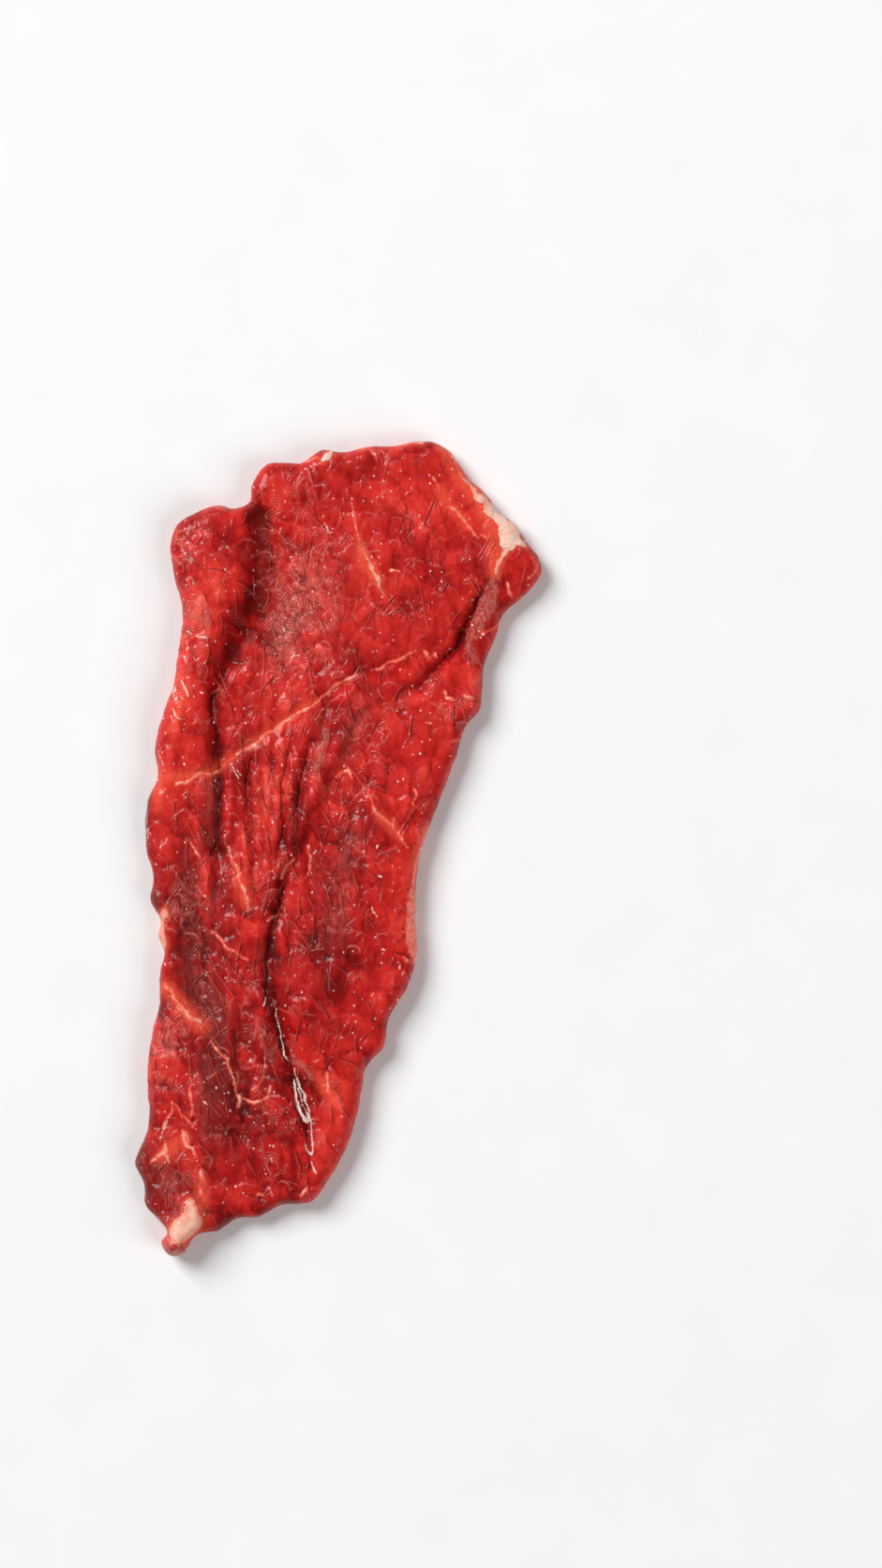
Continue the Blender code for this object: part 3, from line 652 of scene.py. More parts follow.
def even_spacing(path, step, keep_end=False):
    """The same path, as rows evenly about step apart."""
    gaps = np.linalg.norm(np.diff(path[:, :2], axis=0), axis=1)
    run = np.concatenate([[0], np.cumsum(gaps)])
    count = max(2, round(run[-1] / step))
    at = np.linspace(0, run[-1], count + 1 if keep_end else count, endpoint=keep_end)
    return np.column_stack([np.interp(at, run, path[:, k]) for k in range(path.shape[1])])


def closed(loop):
    return np.vstack([loop, loop[:1]])


def to_path(points, path):
    """Distance of each point from a path, positive on the path's left, and how far along it is, 0 to 1."""
    path = np.array(path, float)
    lengths = np.linalg.norm(np.diff(path, axis=0), axis=1)
    starts = np.concatenate([[0], np.cumsum(lengths)])
    nearest = np.full(len(points), np.inf)
    side = np.ones(len(points))
    along = np.zeros(len(points))
    for i, length in enumerate(lengths):
        run = (path[i + 1] - path[i]) / length
        offset = points - path[i]
        reach = np.clip(offset @ run, 0, length)
        distance = np.linalg.norm(offset - reach[:, None] * run, axis=1)
        closer = distance < nearest
        nearest[closer] = distance[closer]
        side[closer] = np.where(run[0] * offset[:, 1] - run[1] * offset[:, 0] >= 0, 1, -1)[closer]
        along[closer] = (starts[i] + reach[closer]) / starts[-1]
    return nearest * side, along


def ease(value, low, high):
    """0 below low, 1 above high, and smooth between."""
    t = np.clip((value - low) / (high - low), 0, 1)
    return t * t * (3 - 2 * t)


def fade_ends(along, share=0.12):
    return ease(along, 0, share) * ease(1 - along, 0, share)


def swell(points, centre, half_length, half_width, turn, height):
    """A smooth oval rise."""
    angle = math.radians(turn)
    offset = points - np.array(centre, float)
    along = offset @ np.array([math.cos(angle), math.sin(angle)])
    across = offset @ np.array([-math.sin(angle), math.cos(angle)])
    return height * np.exp(-((along / half_length) ** 2) - (across / half_width) ** 2)


def swells(points, table):
    return sum(swell(points, *row) for row in table)


def groove(points, path, depth, half_width):
    distance, along = to_path(points, path)
    return -depth * np.exp(-((distance / half_width) ** 2)) * fade_ends(along)


def ledge(points, path, height, run_back):
    """A rise on the left of the path, steep at the path and dying away behind it."""
    distance, along = to_path(points, path)
    step = ease(distance, -LEDGE_RAMP, LEDGE_RAMP) * np.exp(-np.maximum(distance, 0) / run_back)
    return height * step * fade_ends(along)


def waves(points, size_x, size_y, layer):
    """Smooth random values from about -1 to 1, in cells of that size."""
    return np.array([noise.noise(Vector((x / size_x, y / size_y, layer * 7.3))) for x, y in points])


def flakes(points, size_x, size_y, seed, tilt):
    """Rise of small overlapping flakes, each leaning its own way."""
    swirl = [FLAKE_SWIRL * size_x, FLAKE_SWIRL * size_y]
    bend_x = FLAKE_BEND * waves(points, *swirl, seed)
    bend_y = FLAKE_BEND * waves(points, *swirl, seed + 0.5)
    rise = np.empty(len(points))
    for i, (x, y) in enumerate(points):
        spot = Vector((x / size_x + bend_x[i], y / size_y + bend_y[i], seed))
        (near, next_near, *_), (centre, *_) = noise.voronoi(spot)
        lean = noise.cell_vector(centre * 17.0)
        offset = spot - centre
        rise[i] = min(1.0, FLAKE_EDGE * (next_near - near)) + tilt * (offset.x * lean.x + offset.y * lean.y)
    return rise


def strewn_paths(count, length, bend, spread, crowding, seed, patches=CRINKLES):
    """Curling paths strewn over the slice by a seeded rule, denser in the patches."""
    rng = np.random.default_rng(seed)
    low, high = np.min(OUTLINE, axis=0) - STREWN_MARGIN, np.max(OUTLINE, axis=0) + STREWN_MARGIN
    spots = rng.uniform(low, high, (SPOTS_TRIED * count, 2))
    in_patch = np.clip(swells(spots, patches), 0, 1)
    clumps = 0.5 + 0.5 * waves(spots, CLUMP_SIZE, CLUMP_SIZE, seed)
    wanted = (1 - crowding) * clumps + crowding * in_patch
    spots = spots[rng.uniform(0, SPOTS_LIMIT, len(spots)) < wanted][:count]
    paths = []
    for spot in spots:
        steps = round(rng.uniform(*length) / PATH_STEP)
        growth = np.linspace(0.2, 1.0, steps) * rng.uniform(-bend, bend)
        fibre = min(1.0, float(swells(spot[None], FIBRES)[0]))
        heading = math.radians(FIBRE_HEADING + rng.uniform(-spread, spread) * (1 - FIBRE_HOLD * fibre))
        turns = heading + PATH_STEP * np.cumsum(growth)
        moves = PATH_STEP * np.column_stack([np.cos(turns), np.sin(turns)])
        paths.append(spot + np.vstack([[0, 0], np.cumsum(moves, axis=0)]))
    return paths


def nearest_path(points, paths, seed):
    """For each point, the nearest path: distance, positive on its left, run along it in millimetres,
    a strength that fades at its ends, and a random number of its own."""
    own = np.random.default_rng(seed).uniform(0, 1, len(paths))
    starts = np.concatenate([path[:-1] for path in paths])
    runs = np.concatenate([np.diff(path, axis=0) for path in paths])
    owner = np.repeat(np.arange(len(paths)), [len(path) - 1 for path in paths])
    order = np.concatenate([np.arange(len(path) - 1) for path in paths])
    total = np.repeat([len(path) - 1 for path in paths], [len(path) - 1 for path in paths])
    tree = KDTree(len(starts))
    for i, (x, y) in enumerate(starts + runs / 2):
        tree.insert((x, y, 0), i)
    tree.balance()
    found = np.array([tree.find((x, y, 0))[1] for x, y in points])
    offset = points - starts[found]
    run = runs[found]
    t = np.clip((offset * run).sum(1) / (run**2).sum(1), 0, 1)
    distance = np.linalg.norm(offset - t[:, None] * run, axis=1)
    side = np.where(run[:, 0] * offset[:, 1] - run[:, 1] * offset[:, 0] >= 0, 1, -1)
    along = (order[found] + t) / total[found]
    return distance * side, (order[found] + t) * PATH_STEP, fade_ends(along, 0.25), own[owner[found]]


def strokes_distance(points, strokes, far=8.0):
    """Distance of each point from the nearest stroke's edge, below 0 inside it and no more than far."""
    nearest = np.full(len(points), far)
    for stroke in strokes:
        stroke = np.array(stroke, float)
        low = stroke[:, :2].min(0) - far
        high = stroke[:, :2].max(0) + far
        near = np.flatnonzero(((points > low) & (points < high)).all(1))
        for (x, y, width), (x2, y2, width2) in zip(stroke[:-1], stroke[1:]):
            run = np.array([x2 - x, y2 - y])
            offset = points[near] - (x, y)
            t = np.clip(offset @ run / (run @ run), 0, 1)
            distance = np.linalg.norm(offset - t[:, None] * run, axis=1) - (width + t * (width2 - width))
            nearest[near] = np.minimum(nearest[near], distance)
    return nearest


def inwards(loop):
    """The inward direction at each point of a clockwise loop."""
    run = np.roll(loop, -1, axis=0) - np.roll(loop, 1, axis=0)
    normal = np.column_stack([run[:, 1], -run[:, 0]])
    return normal / np.linalg.norm(normal, axis=1, keepdims=True)


def ragged(loop):
    """The outline with small bays bitten inwards."""
    bite = sum(depth * (1 + waves(loop, size, size, layer)) for depth, size, layer in BITES)
    return loop + bite[:, None] * inwards(loop)


def wavy(table):
    """The table's strokes in small steps, wandering a little and varying in width."""
    strokes = []
    for stroke in table:
        path = even_spacing(np.array(stroke, float), 2 * STROKE_STEP, keep_end=True)
        spots = path[:, :2].copy()
        for axis in (0, 1):
            drift = (reach * waves(spots, size, size, layer + axis) for reach, size, layer in WANDER)
            path[:, axis] += sum(drift)
        middle, swing, size, layer = WIDTHS
        path[:, 2] *= middle + swing * waves(spots, size, size, layer)
        strokes.append(path)
    return strokes


def stroke_points():
    """Rows of points along every meshed stroke, so that the mesh follows them."""
    rows = []
    for stroke in wavy(MESHED):
        line = even_spacing(stroke[:, :2], STROKE_STEP, keep_end=True)
        run = np.gradient(line, axis=0)
        across = np.column_stack([-run[:, 1], run[:, 0]]) / np.linalg.norm(run, axis=1, keepdims=True)
        rows += [line + row * across for row in STROKE_ROWS]
    points = np.concatenate(rows)
    cells = np.unique(np.round(points / STROKE_MERGE).astype(int), axis=0, return_index=True)[1]
    return points[np.sort(cells)]


def plan_points(loop):
    """The outline's points, rings inside it, rows along the strokes and an even field elsewhere."""
    edge = closed(loop)
    rows = [loop]
    for depth in RING_DEPTHS:
        ring = loop + depth * inwards(loop)
        rows.append(ring[-to_path(ring, edge)[0] > RING_KEPT * depth])
    clear = RING_DEPTHS[-1] + FIELD_FROM_RINGS
    fine = stroke_points()
    rows.append(fine[to_path(fine, edge)[0] < -clear])
    low, high = loop.min(0), loop.max(0)
    field = []
    for row, y in enumerate(np.arange(low[1], high[1], CELL * math.sqrt(3) / 2)):
        shift = CELL / 2 * (row % 2)
        field += [(x + shift, y) for x in np.arange(low[0], high[0], CELL)]
    field = np.array(field)
    field = field[to_path(field, edge)[0] < -clear]
    taken = [[(x, y, STROKE_ROWS[-1]) for x, y, _ in stroke] for stroke in wavy(MESHED)]
    rows.append(field[strokes_distance(field, taken) > FIELD_FROM_STROKES])
    return np.concatenate(rows)


def broad_height(points):
    """Height of the upper surface before its rim is rounded, as in the CAD model."""
    height = THICKNESS + swells(points, SWELLS)
    for layer, (size_x, size_y, rise) in enumerate(WAVES):
        height += rise * waves(points, size_x, size_y, layer)
    for path, depth, half_width in GROOVES:
        height += groove(points, path, depth, half_width)
    for path, rise, run_back in LEDGES:
        height += ledge(points, path, rise, run_back)
    nub = np.abs(to_path(points, NUB_PATH)[0])
    return height + NUB_HEIGHT * np.sqrt(np.clip(1 - (nub / NUB_RADIUS) ** 2, 0, 1))


def within(edge_distance, amount, start, full):
    """The amount, growing from 0 between those distances inside the edge."""
    return amount * ease(-edge_distance, start, full)


def fine_height(masks):
    """The finer relief: flakes, fibres, creases, strands, crevices and the rise of fat and film."""
    crease, strand = masks["crease"], masks["strand"]
    height = masks["flake"] + masks["streak"]
    height += CREASE_STEP * masks["crease_strength"] * np.where(crease > 0, np.exp(-crease / CREASE_RUN), 0)
    height += STRAND_STEP * masks["strand_strength"] * np.sign(strand) * np.exp(-np.abs(strand) / STRAND_RUN)
    height -= within(masks["crevice"], *CREVICE_DEPTH)
    height *= 1 - within(masks["fat"], *FAT_SMOOTHING)
    height += within(masks["fat"], *FAT_RISE)
    height += within(masks["film"], *FILM_RISE)
    return height


def soft_limit(height, limit, reach=0.5):
    """The height, bent over smoothly below the limit."""
    over = np.maximum(height - (limit - reach), 0)
    return np.minimum(height, limit - reach) + reach * (1 - np.exp(-over / reach))


def rim_profile(edge_distance):
    rim = np.clip(edge_distance / RIM_REACH, 0, 1)
    return RIM_SHARE + (1 - RIM_SHARE) * np.sqrt(1 - (1 - rim) ** 2)


def paint(points):
    """What the material reads at each point of the plan, by name."""
    masks = {"tone": swells(points, TONES)}
    for name, table in PATCHES.items():
        masks[name] = np.clip(swells(points, table), 0, 1)
    crinkle, fibre = masks["crinkle"], np.clip(swells(points, FIBRES), 0, 1)
    for name, table in WANDERING.items():
        masks[name] = strokes_distance(points, wavy(table))
    for name, table in STEADY.items():
        masks[name] = strokes_distance(points, table)

    flake = sum(
        flakes(points, size_x, size_y, seed, lean) * (least + more * crinkle)
        for size_x, size_y, lean, least, more, seed in FLAKES
    )
    rise, size_x, size_y, layer = UNEVENNESS
    masks["flake"] = flake + rise * waves(points, size_x, size_y, layer)
    fine, broad = (waves(points, *streak) for streak in STREAKS)
    masks["streak"] = (fine - 0.9 * np.abs(broad)) * (STREAK_HEIGHT + STREAK_IN_FIBRES * fibre)
    grooves = (groove(points, path, depth, HOLLOW_WIDTH * width) for path, depth, width in GROOVES)
    masks["hollow"] = -sum(grooves)

    curl, _, fade, own = nearest_path(points, strewn_paths(**CURLS), 1)
    masks["curl"] = np.clip(curl, -2, 2) / (0.6 + 0.8 * own)
    masks["curl_near"] = np.minimum(np.abs(curl), 2)
    masks["curl_strength"] = fade * (0.2 + 0.8 * own**3)
    crease, _, fade, own = nearest_path(points, strewn_paths(**CREASES), 2)
    masks["crease"] = crease
    masks["crease_near"] = np.minimum(np.abs(crease), 2)
    masks["crease_strength"] = fade * (0.35 + 0.65 * own)
    strand, _, fade, own = nearest_path(points, strewn_paths(**STRANDS), 4)
    masks["strand"] = np.clip(strand, -2, 2)
    masks["strand_near"] = np.minimum(np.abs(strand), 2)
    masks["strand_strength"] = fade * (0.3 + 0.7 * own)
    fold, run, fade, own = nearest_path(points, strewn_paths(**FOLDS), 3)
    masks["fold"] = np.where(own < FOLDS_ALONG, fold, run) / FOLD_SPACING
    masks["fold_within"] = (1 - np.abs(fold) / FOLD_HALF_WIDTH) * fade
    return masks


def painted(spots, loop, on_rim):
    """The masks at the plan's vertices, and those down the side, as if it lay flat beyond the rim."""
    beyond = [loop - SIDE_STEP * row * inwards(loop) for row in range(1, SIDE_ROWS)]
    masks = paint(np.concatenate([spots] + beyond))
    side = {name: values[len(spots):] for name, values in masks.items()}
    top = {name: values[: len(spots)] for name, values in masks.items()}
    drift = SIDE_DRIFT * waves(np.concatenate(beyond), 2.2, 2.2, 71)
    for name, rise in DOWN_THE_SIDE.items():
        rim = [top[name][on_rim] + rise * row for row in range(1, SIDE_ROWS)]
        side[name] = np.concatenate(rim) + drift
    return top, side


def plan_mesh(loop):
    """The plan's vertices, its triangles as seen from above, and the vertices on the outline."""
    count = len(loop)
    border = [(i, (i + 1) % count) for i in range(count)]
    plan = [Vector(p) for p in plan_points(loop)]
    spots, _, triangles, *_ = delaunay_2d_cdt(plan, border, [list(range(count))], 1, 1e-6)
    spots, triangles = np.array([tuple(p) for p in spots]), np.array(triangles)
    a, b, c = spots[triangles[0]]
    if (b[0] - a[0]) * (c[1] - a[1]) < (b[1] - a[1]) * (c[0] - a[0]):
        triangles = triangles[:, ::-1]
    on_rim = [int(np.argmin(((spots - p) ** 2).sum(1))) for p in loop]
    return spots, triangles.tolist(), on_rim


def side_rows(loop, rim_height):
    """Rows of vertices down the rounded side, between the rim and the foot."""
    rows = []
    for row in range(1, SIDE_ROWS):
        angle = math.pi / 2 * row / SIDE_ROWS
        inset = FOOT_INSET * (1 - math.cos(angle))
        rough = SIDE_ROUGHNESS * math.sin(2 * angle) * (1 + waves(loop + 40 * row, 1.6, 1.6, 41))
        place = loop + (inset + rough)[:, None] * inwards(loop)
        rows.append(np.column_stack([place, rim_height * (1 - math.sin(angle))]))
    return rows


def underside(spots, edge, loop, on_rim):
    """The plan's vertices, drawn in at the foot, on a faintly dented underside."""
    nearest = loop[[int(np.argmin(((loop - p) ** 2).sum(1))) for p in spots]]
    away = spots - nearest
    away /= np.maximum(np.linalg.norm(away, axis=1, keepdims=True), 1e-6)
    away[on_rim] = inwards(loop)
    push = FOOT_INSET * (1 - ease(edge, 0, FOOT_BLEND))
    dent = sum(depth * (1 + waves(spots, size_x, size_y, layer)) for depth, size_x, size_y, layer in DENTS)
    return np.column_stack([spots + push[:, None] * away, dent * ease(edge, 0, DENTS_FROM_RIM)])


def steak_mesh():
    """The closed visible body: upper surface, rounded side and underside, with its painted attributes."""
    loop = ragged(smooth_loop(OUTLINE, CELL))
    spots, faces, on_rim = plan_mesh(loop)
    edge = np.abs(to_path(spots, closed(loop))[0])
    masks, side_masks = painted(spots, loop, on_rim)
    top = (broad_height(spots) + fine_height(masks)) * rim_profile(edge)
    top = soft_limit(top, cad_box[1][2] / MM)
    upper = np.column_stack([spots, top])
    verts = np.concatenate([upper] + side_rows(loop, top[on_rim]) + [underside(spots, edge, loop, on_rim)])

    count = len(loop)
    base = len(verts) - len(spots)
    faces += [[base + i for i in reversed(face)] for face in faces]
    levels = [on_rim]
    levels += [range(start, start + count) for start in range(len(spots), base, count)]
    levels.append([base + i for i in on_rim])
    for above, below in zip(levels[:-1], levels[1:]):
        for i in range(count):
            j = (i + 1) % count
            faces.append([above[i], above[j], below[j], below[i]])

    mesh = bpy.data.meshes.new("steak")
    mesh.from_pydata((verts * MM).tolist(), [], faces)
    for name, values in masks.items():
        layer = mesh.attributes.new(name, "FLOAT", "POINT")
        below = values + TOP_ONLY.get(name, 0.0)
        layer.data.foreach_set("value", np.concatenate([values, side_masks[name], below]))
    mesh.validate()
    mesh.shade_smooth()
    return mesh


class Net:
    """Short names for making and joining a material's nodes. A value is a number, a tuple or an output."""

    def __init__(self, tree):
        self.tree = tree

    def node(self, kind, settings=None, **inputs):
        """A new shader node of that kind. In the names of its inputs, _ stands for a space."""
        node = self.tree.nodes.new("ShaderNode" + kind)
        for name, value in (settings or {}).items():
            setattr(node, name, value)
        for name, value in inputs.items():
            self.put(node.inputs[name.replace("_", " ")], value)
        return node

    def put(self, socket, value):
        if isinstance(value, bpy.types.NodeSocket):
            self.tree.links.new(value, socket)
        else:
            socket.default_value = value

    def math(self, operation, *values, kind="Math"):
        node = self.node(kind, {"operation": operation})
        for socket, value in zip(node.inputs, values):
            self.put(socket, value)
        return node.outputs[0]

    def mul(self, first, second):
        return self.math("MULTIPLY", first, second)

    def add(self, first, second, share=None):
        """The sum, with only that share of the second value."""
        return self.math("ADD", first, second if share is None else self.mul(second, share))

    def sub(self, first, second, share=None):
        """The difference, with only that share of the second value."""
        return self.math("SUBTRACT", first, second if share is None else self.mul(second, share))

    def most(self, first, second):
        return self.math("MAXIMUM", first, second)

    def linear(self, value, gain, base):
        return self.add(self.mul(value, gain), base)

    def span(self, value, low, high, to_low=0.0, to_high=1.0):
        """value from low to high becomes to_low to to_high, smoothly and no further."""
        node = self.node(
            "MapRange", {"interpolation_type": "SMOOTHSTEP"},
            Value=value, From_Min=low, From_Max=high, To_Min=to_low, To_Max=to_high,
        )
        return node.outputs["Result"]

    def mask(self, name):
        """What is painted on the mesh under that name."""
        return self.node("Attribute", {"attribute_name": name}).outputs["Fac"]

    def noise(self, place, size, detail=2.0, distortion=0.0):
        """Noise in cells of that size, from 0 to 1."""
        node = self.node(
            "TexNoise", Vector=place, Scale=1.0 / size, Detail=detail, Roughness=0.5, Distortion=distortion
        )
        return node.outputs["Fac"]

    def swing(self, place, size, detail=1.0, distortion=0.0):
        """The same noise, about 0."""
        return self.sub(self.noise(place, size, detail, distortion), 0.5)

    def scaled(self, place, factor):
        return self.node("VectorMath", {"operation": "SCALE"}, Vector=place, Scale=factor).outputs["Vector"]

    def bend(self, place, size, reach):
        """The place moved about by up to reach, in swirls of that size, in millimetres."""
        swirl = self.node("TexNoise", Vector=place, Scale=1.0 / size, Detail=1.0).outputs["Color"]
        centred = self.math("SUBTRACT", swirl, (0.5, 0.5, 0.5), kind="VectorMath")
        return self.math("ADD", place, self.scaled(centred, reach), kind="VectorMath")

    def cells(self, place, size):
        """A random value for each cell of that size, from 0 to 1."""
        cell = self.node("TexVoronoi", Vector=place, Scale=1.0 / size)
        return self.node("SeparateColor", Color=cell.outputs["Color"]).outputs["Red"]

    def shift(self, place, offset, stretch):
        return self.node("Mapping", Vector=place, Location=offset, Scale=stretch).outputs["Vector"]

    def mix(self, factor, first, second):
        """From the first colour to the second."""
        node = self.node("Mix", {"data_type": "RGBA"}, Factor=factor)
        for name, value in (("A", first), ("B", second)):
            self.put(node.inputs[name], (*value, 1.0) if isinstance(value, tuple) else value)
        return node.outputs["Result"]

    def over(self, colour, tint, cover, strength):
        """The colour with the tint laid over it, where cover is 1 at that strength."""
        return self.mix(self.mul(cover, strength), colour, tint)

    def ramp(self, value, stops):
        node = self.node("ValToRGB", Fac=value)
        elements = node.color_ramp.elements
        while len(elements) < len(stops):
            elements.new(0.5)
        for element, (at, colour) in zip(elements, stops):
            element.position = at
            element.color = (*colour, 1.0)
        return node.outputs["Color"]


# Colours, linear
LEAN_STOPS = [
    (0.0, (0.110, 0.002, 0.002)), (0.25, (0.270, 0.004, 0.004)), (0.5, (0.480, 0.012, 0.010)),
    (0.75, (0.680, 0.030, 0.022)), (1.0, (0.820, 0.095, 0.072)),
]
# Brownish dusk: see-through lean, and painted shade in the valley and creases
DUSK_COLOUR = (0.190, 0.011, 0.009)
# Pale pink of facets and haze: partly membrane, partly painted sheen on wet crinkles
FACET_COLOUR = (0.600, 0.145, 0.125)
# Painted shade in the creases and between the strands
CREASE_SHADE = (0.150, 0.004, 0.004)
# Painted highlight on curls, folds, crease lips and strand ridges, partly pale fibre
PALE_LINE_AND_HIGHLIGHT = (0.880, 0.220, 0.170)
VEIL_COLOUR = (0.560, 0.170, 0.135)
VEIL_DEEP = (0.360, 0.050, 0.042)
GLOW_COLOUR = (0.850, 0.090, 0.045)
THIN_COLOUR = (0.185, 0.025, 0.020)
SKIN_COLOUR = (0.480, 0.310, 0.280)
# Painted shade in the crevices
CREVICE_SHADE = (0.080, 0.002, 0.002)
FACE_COLOUR = (0.940, 0.250, 0.180)
FACE_DEEP = (0.780, 0.120, 0.085)
FILM_EDGE = (0.900, 0.140, 0.085)
FILM_CORE = (0.960, 0.520, 0.400)
FAT_COLOUR = (0.820, 0.290, 0.195)
# Paler fat: its own colour where thick, and partly painted highlight on its rounded top
FAT_PALE = (0.890, 0.520, 0.390)
FAT_WHITE = (0.900, 0.600, 0.490)
# Painted highlight: the white of the glints and gleams
GLINT_WHITE = (1.000, 0.800, 0.720)
FLOOR_STOPS = [(0.3, (0.86, 0.86, 0.86)), (0.7, (0.875, 0.875, 0.875))]

# Painted shade and highlight from the relief: how far its height lightens the lean meat and its hollows
# darken it
RELIEF_SHADING = {"flake": 0.45, "streak": 0.75, "hollow": -0.16}
# Mottling of the lean meat: size in millimetres, strength, detail
MOTTLES = [(12.0, 0.62, 1.0), (4.2, 0.42, 1.0), (1.1, 0.32, 2.0)]
# Tints laid over the meat along their strokes: how far the noise breaks up the edge, the distance
# at which they start and that at which they are full, in millimetres, their strength and colour
EDGED_TINTS = {
    "glow": (1.2, 2.0, -0.8, 0.65, GLOW_COLOUR),
    "thin": (0.8, 0.6, -0.7, 0.85, THIN_COLOUR),
    "skin": (1.4, 0.25, -0.25, 0.55, SKIN_COLOUR),
    "crevice": (0.3, 0.42, -0.16, 0.70, CREVICE_SHADE),
}
# Painted glints, small pale spots: size of the cells, radius, share of the cells that have one, seed
GLINT_SPOTS = [(2.4, 0.20, 0.42, 1), (5.2, 0.27, 0.32, 2)]
# How strongly each tint covers the meat
COVER = {
    "dusk": 0.55, "facet": 0.36, "crease": 0.65, "strand": 0.45, "veil": 0.62, "face": 0.9,
    "film edge": 0.62, "film": 0.70, "fat glow": 0.55, "spot": 0.95, "gleam": 0.74,
}
# Wet and matt: specular level and coat weight
SPECULAR = (0.12, 0.02)
COAT = (0.28, 0.04)
COAT_ROUGHNESS = 0.07
ROUGHNESS = (0.40, 0.55)
SUBSURFACE_WEIGHT = 0.22
SUBSURFACE_RADIUS = (1.0, 0.22, 0.12)
SUBSURFACE_SCALE = 0.0012
BUMP_HEIGHT = 0.00028


def dots(net, place, size, radius, share, seed):
    """Small round spots, one in some of the cells of that size, in millimetres."""
    shifted = net.shift(place, (seed * 7.9, seed * 2.3, seed * 4.1), (1.0, 0.5 + 0.2 * seed, 1.0))
    shifted = net.bend(shifted, 0.9, 0.5)
    cells = net.node("TexVoronoi", {"voronoi_dimensions": "2D"}, Vector=shifted, Scale=1.0 / size)
    chance = net.node("SeparateColor", Color=cells.outputs["Color"]).outputs
    wanted = net.math("GREATER_THAN", chance["Red"], 1.0 - share)
    reach = net.mul(net.linear(chance["Green"], 0.6, 0.4), radius / size)
    spot = net.span(net.sub(cells.outputs["Distance"], reach), 0.03, -0.03)
    return net.mul(net.mul(spot, wanted), net.linear(chance["Blue"], 0.45, 0.55))


def line(net, name, offset, reach):
    """A soft line beside the strewn paths of that name, offset to their left."""
    across = net.mask(name)
    if offset:
        across = net.sub(across, offset)
    return net.span(net.math("ABSOLUTE", across), reach, 0.04)


def lean_colour(net, place, drawn_out, crinkle, wobble):
    """Mottled red, lighter on high relief and darker in its hollows as painted highlight and shade, with
    brownish patches that are partly painted shade, and a pinkish haze of facets and membrane that is partly
    painted sheen.
    """
    tone = net.linear(net.mask("tone"), 0.62, 0.40)
    # Painted shade and highlight: high relief lighter, hollows darker
    for name, strength in RELIEF_SHADING.items():
        tone = net.add(tone, net.mask(name), strength)
    stir = net.span(net.mask("calm"), 0.1, 0.9, 1.0, 0.45)
    for size, strength, detail in MOTTLES:
        tone = net.add(tone, net.mul(net.swing(place, size, detail), stir), strength)
    tone = net.add(tone, net.swing(drawn_out, 1.6, distortion=0.6), 0.22)
    tone = net.add(tone, net.sub(net.cells(net.bend(place, 6.0, 4.0), 5.5), 0.5), 0.12)
    colour = net.ramp(tone, LEAN_STOPS)
    # Brownish dusk, partly painted shade in the valley and creases
    dusk = net.span(net.add(net.mask("dusk"), wobble, 0.5), 0.15, 0.85)
    colour = net.over(colour, DUSK_COLOUR, dusk, COVER["dusk"])
    # Pale facets and haze: partly membrane, partly painted sheen on the wet crinkles
    facet = net.add(net.cells(net.bend(place, 2.6, 3.0), 4.6), crinkle, 0.45)
    facet = net.span(facet, 1.02, 1.30, 0.0, COVER["facet"])
    haze = net.mul(net.mask("haze"), net.span(net.noise(drawn_out, 1.3, distortion=1.0), 0.30, 0.68))
    return net.mix(net.most(facet, net.mul(haze, COVER["facet"])), colour, FACET_COLOUR)


def fine_lines(net, colour, place, crinkle):
    """Painted shade in the creases and between the strands, with a painted highlight on the lip and ridge
    beside them, and pale curls and folds of close stripes that are partly painted highlight.
    Returns the colour and where the pale and the dark lines are."""
    crease_on = net.mul(net.span(net.mask("crease_near"), 1.0, 0.6), net.mask("crease_strength"))
    crease_on = net.mul(crease_on, net.span(net.mask("calm"), 0.2, 0.9, 1.0, 0.35))
    strand_on = net.mul(net.span(net.mask("strand_near"), 1.2, 0.7), net.mask("strand_strength"))
    crease = net.mul(line(net, "crease", 0, 0.38), crease_on)
    strand = net.mul(line(net, "strand", 0, 0.34), strand_on)
    # Painted shade along the creases and the strands
    colour = net.over(colour, CREASE_SHADE, crease, COVER["crease"])
    colour = net.over(colour, CREASE_SHADE, strand, COVER["strand"])

    lip = net.mul(line(net, "crease", 0.50, 0.26), crease_on)
    ridge = net.mul(line(net, "strand", 0.55, 0.34), strand_on)
    curl = net.span(net.sub(net.math("ABSOLUTE", net.mask("curl")), crinkle, 0.16), 0.29, 0.02)
    curl = net.mul(net.mul(curl, net.span(net.mask("curl_near"), 0.7, 0.4)), net.mask("curl_strength"))
    across = net.add(net.mask("fold"), net.swing(place, 1.4, detail=0.0), 1.1)
    stripe = net.math("ABSOLUTE", net.sub(net.math("FRACT", across), 0.5))
    fold = net.mul(net.span(stripe, 0.40, 0.08), net.span(net.mask("fold_within"), 0.05, 0.50))
    fold = net.mul(fold, net.span(crinkle, 0.0, 0.6, 0.35, 1.0))
    pale = net.most(curl, net.most(net.mul(fold, 0.8), net.most(net.mul(lip, 0.45), net.mul(ridge, 0.5))))
    lively = net.span(net.mask("calm"), 0.15, 0.85, 1.0, 0.25)
    lively = net.mul(lively, net.span(net.noise(place, 9.0, detail=1.0), 0.38, 0.60, 0.45, 1.0))
    pale = net.mul(pale, lively)
    # Pale lines: painted highlight on the fine ridges, partly pale fibre
    colour = net.mix(net.mul(pale, net.linear(crinkle, 0.34, 0.50)), colour, PALE_LINE_AND_HIGHLIGHT)
    return colour, pale, net.most(crease, strand)


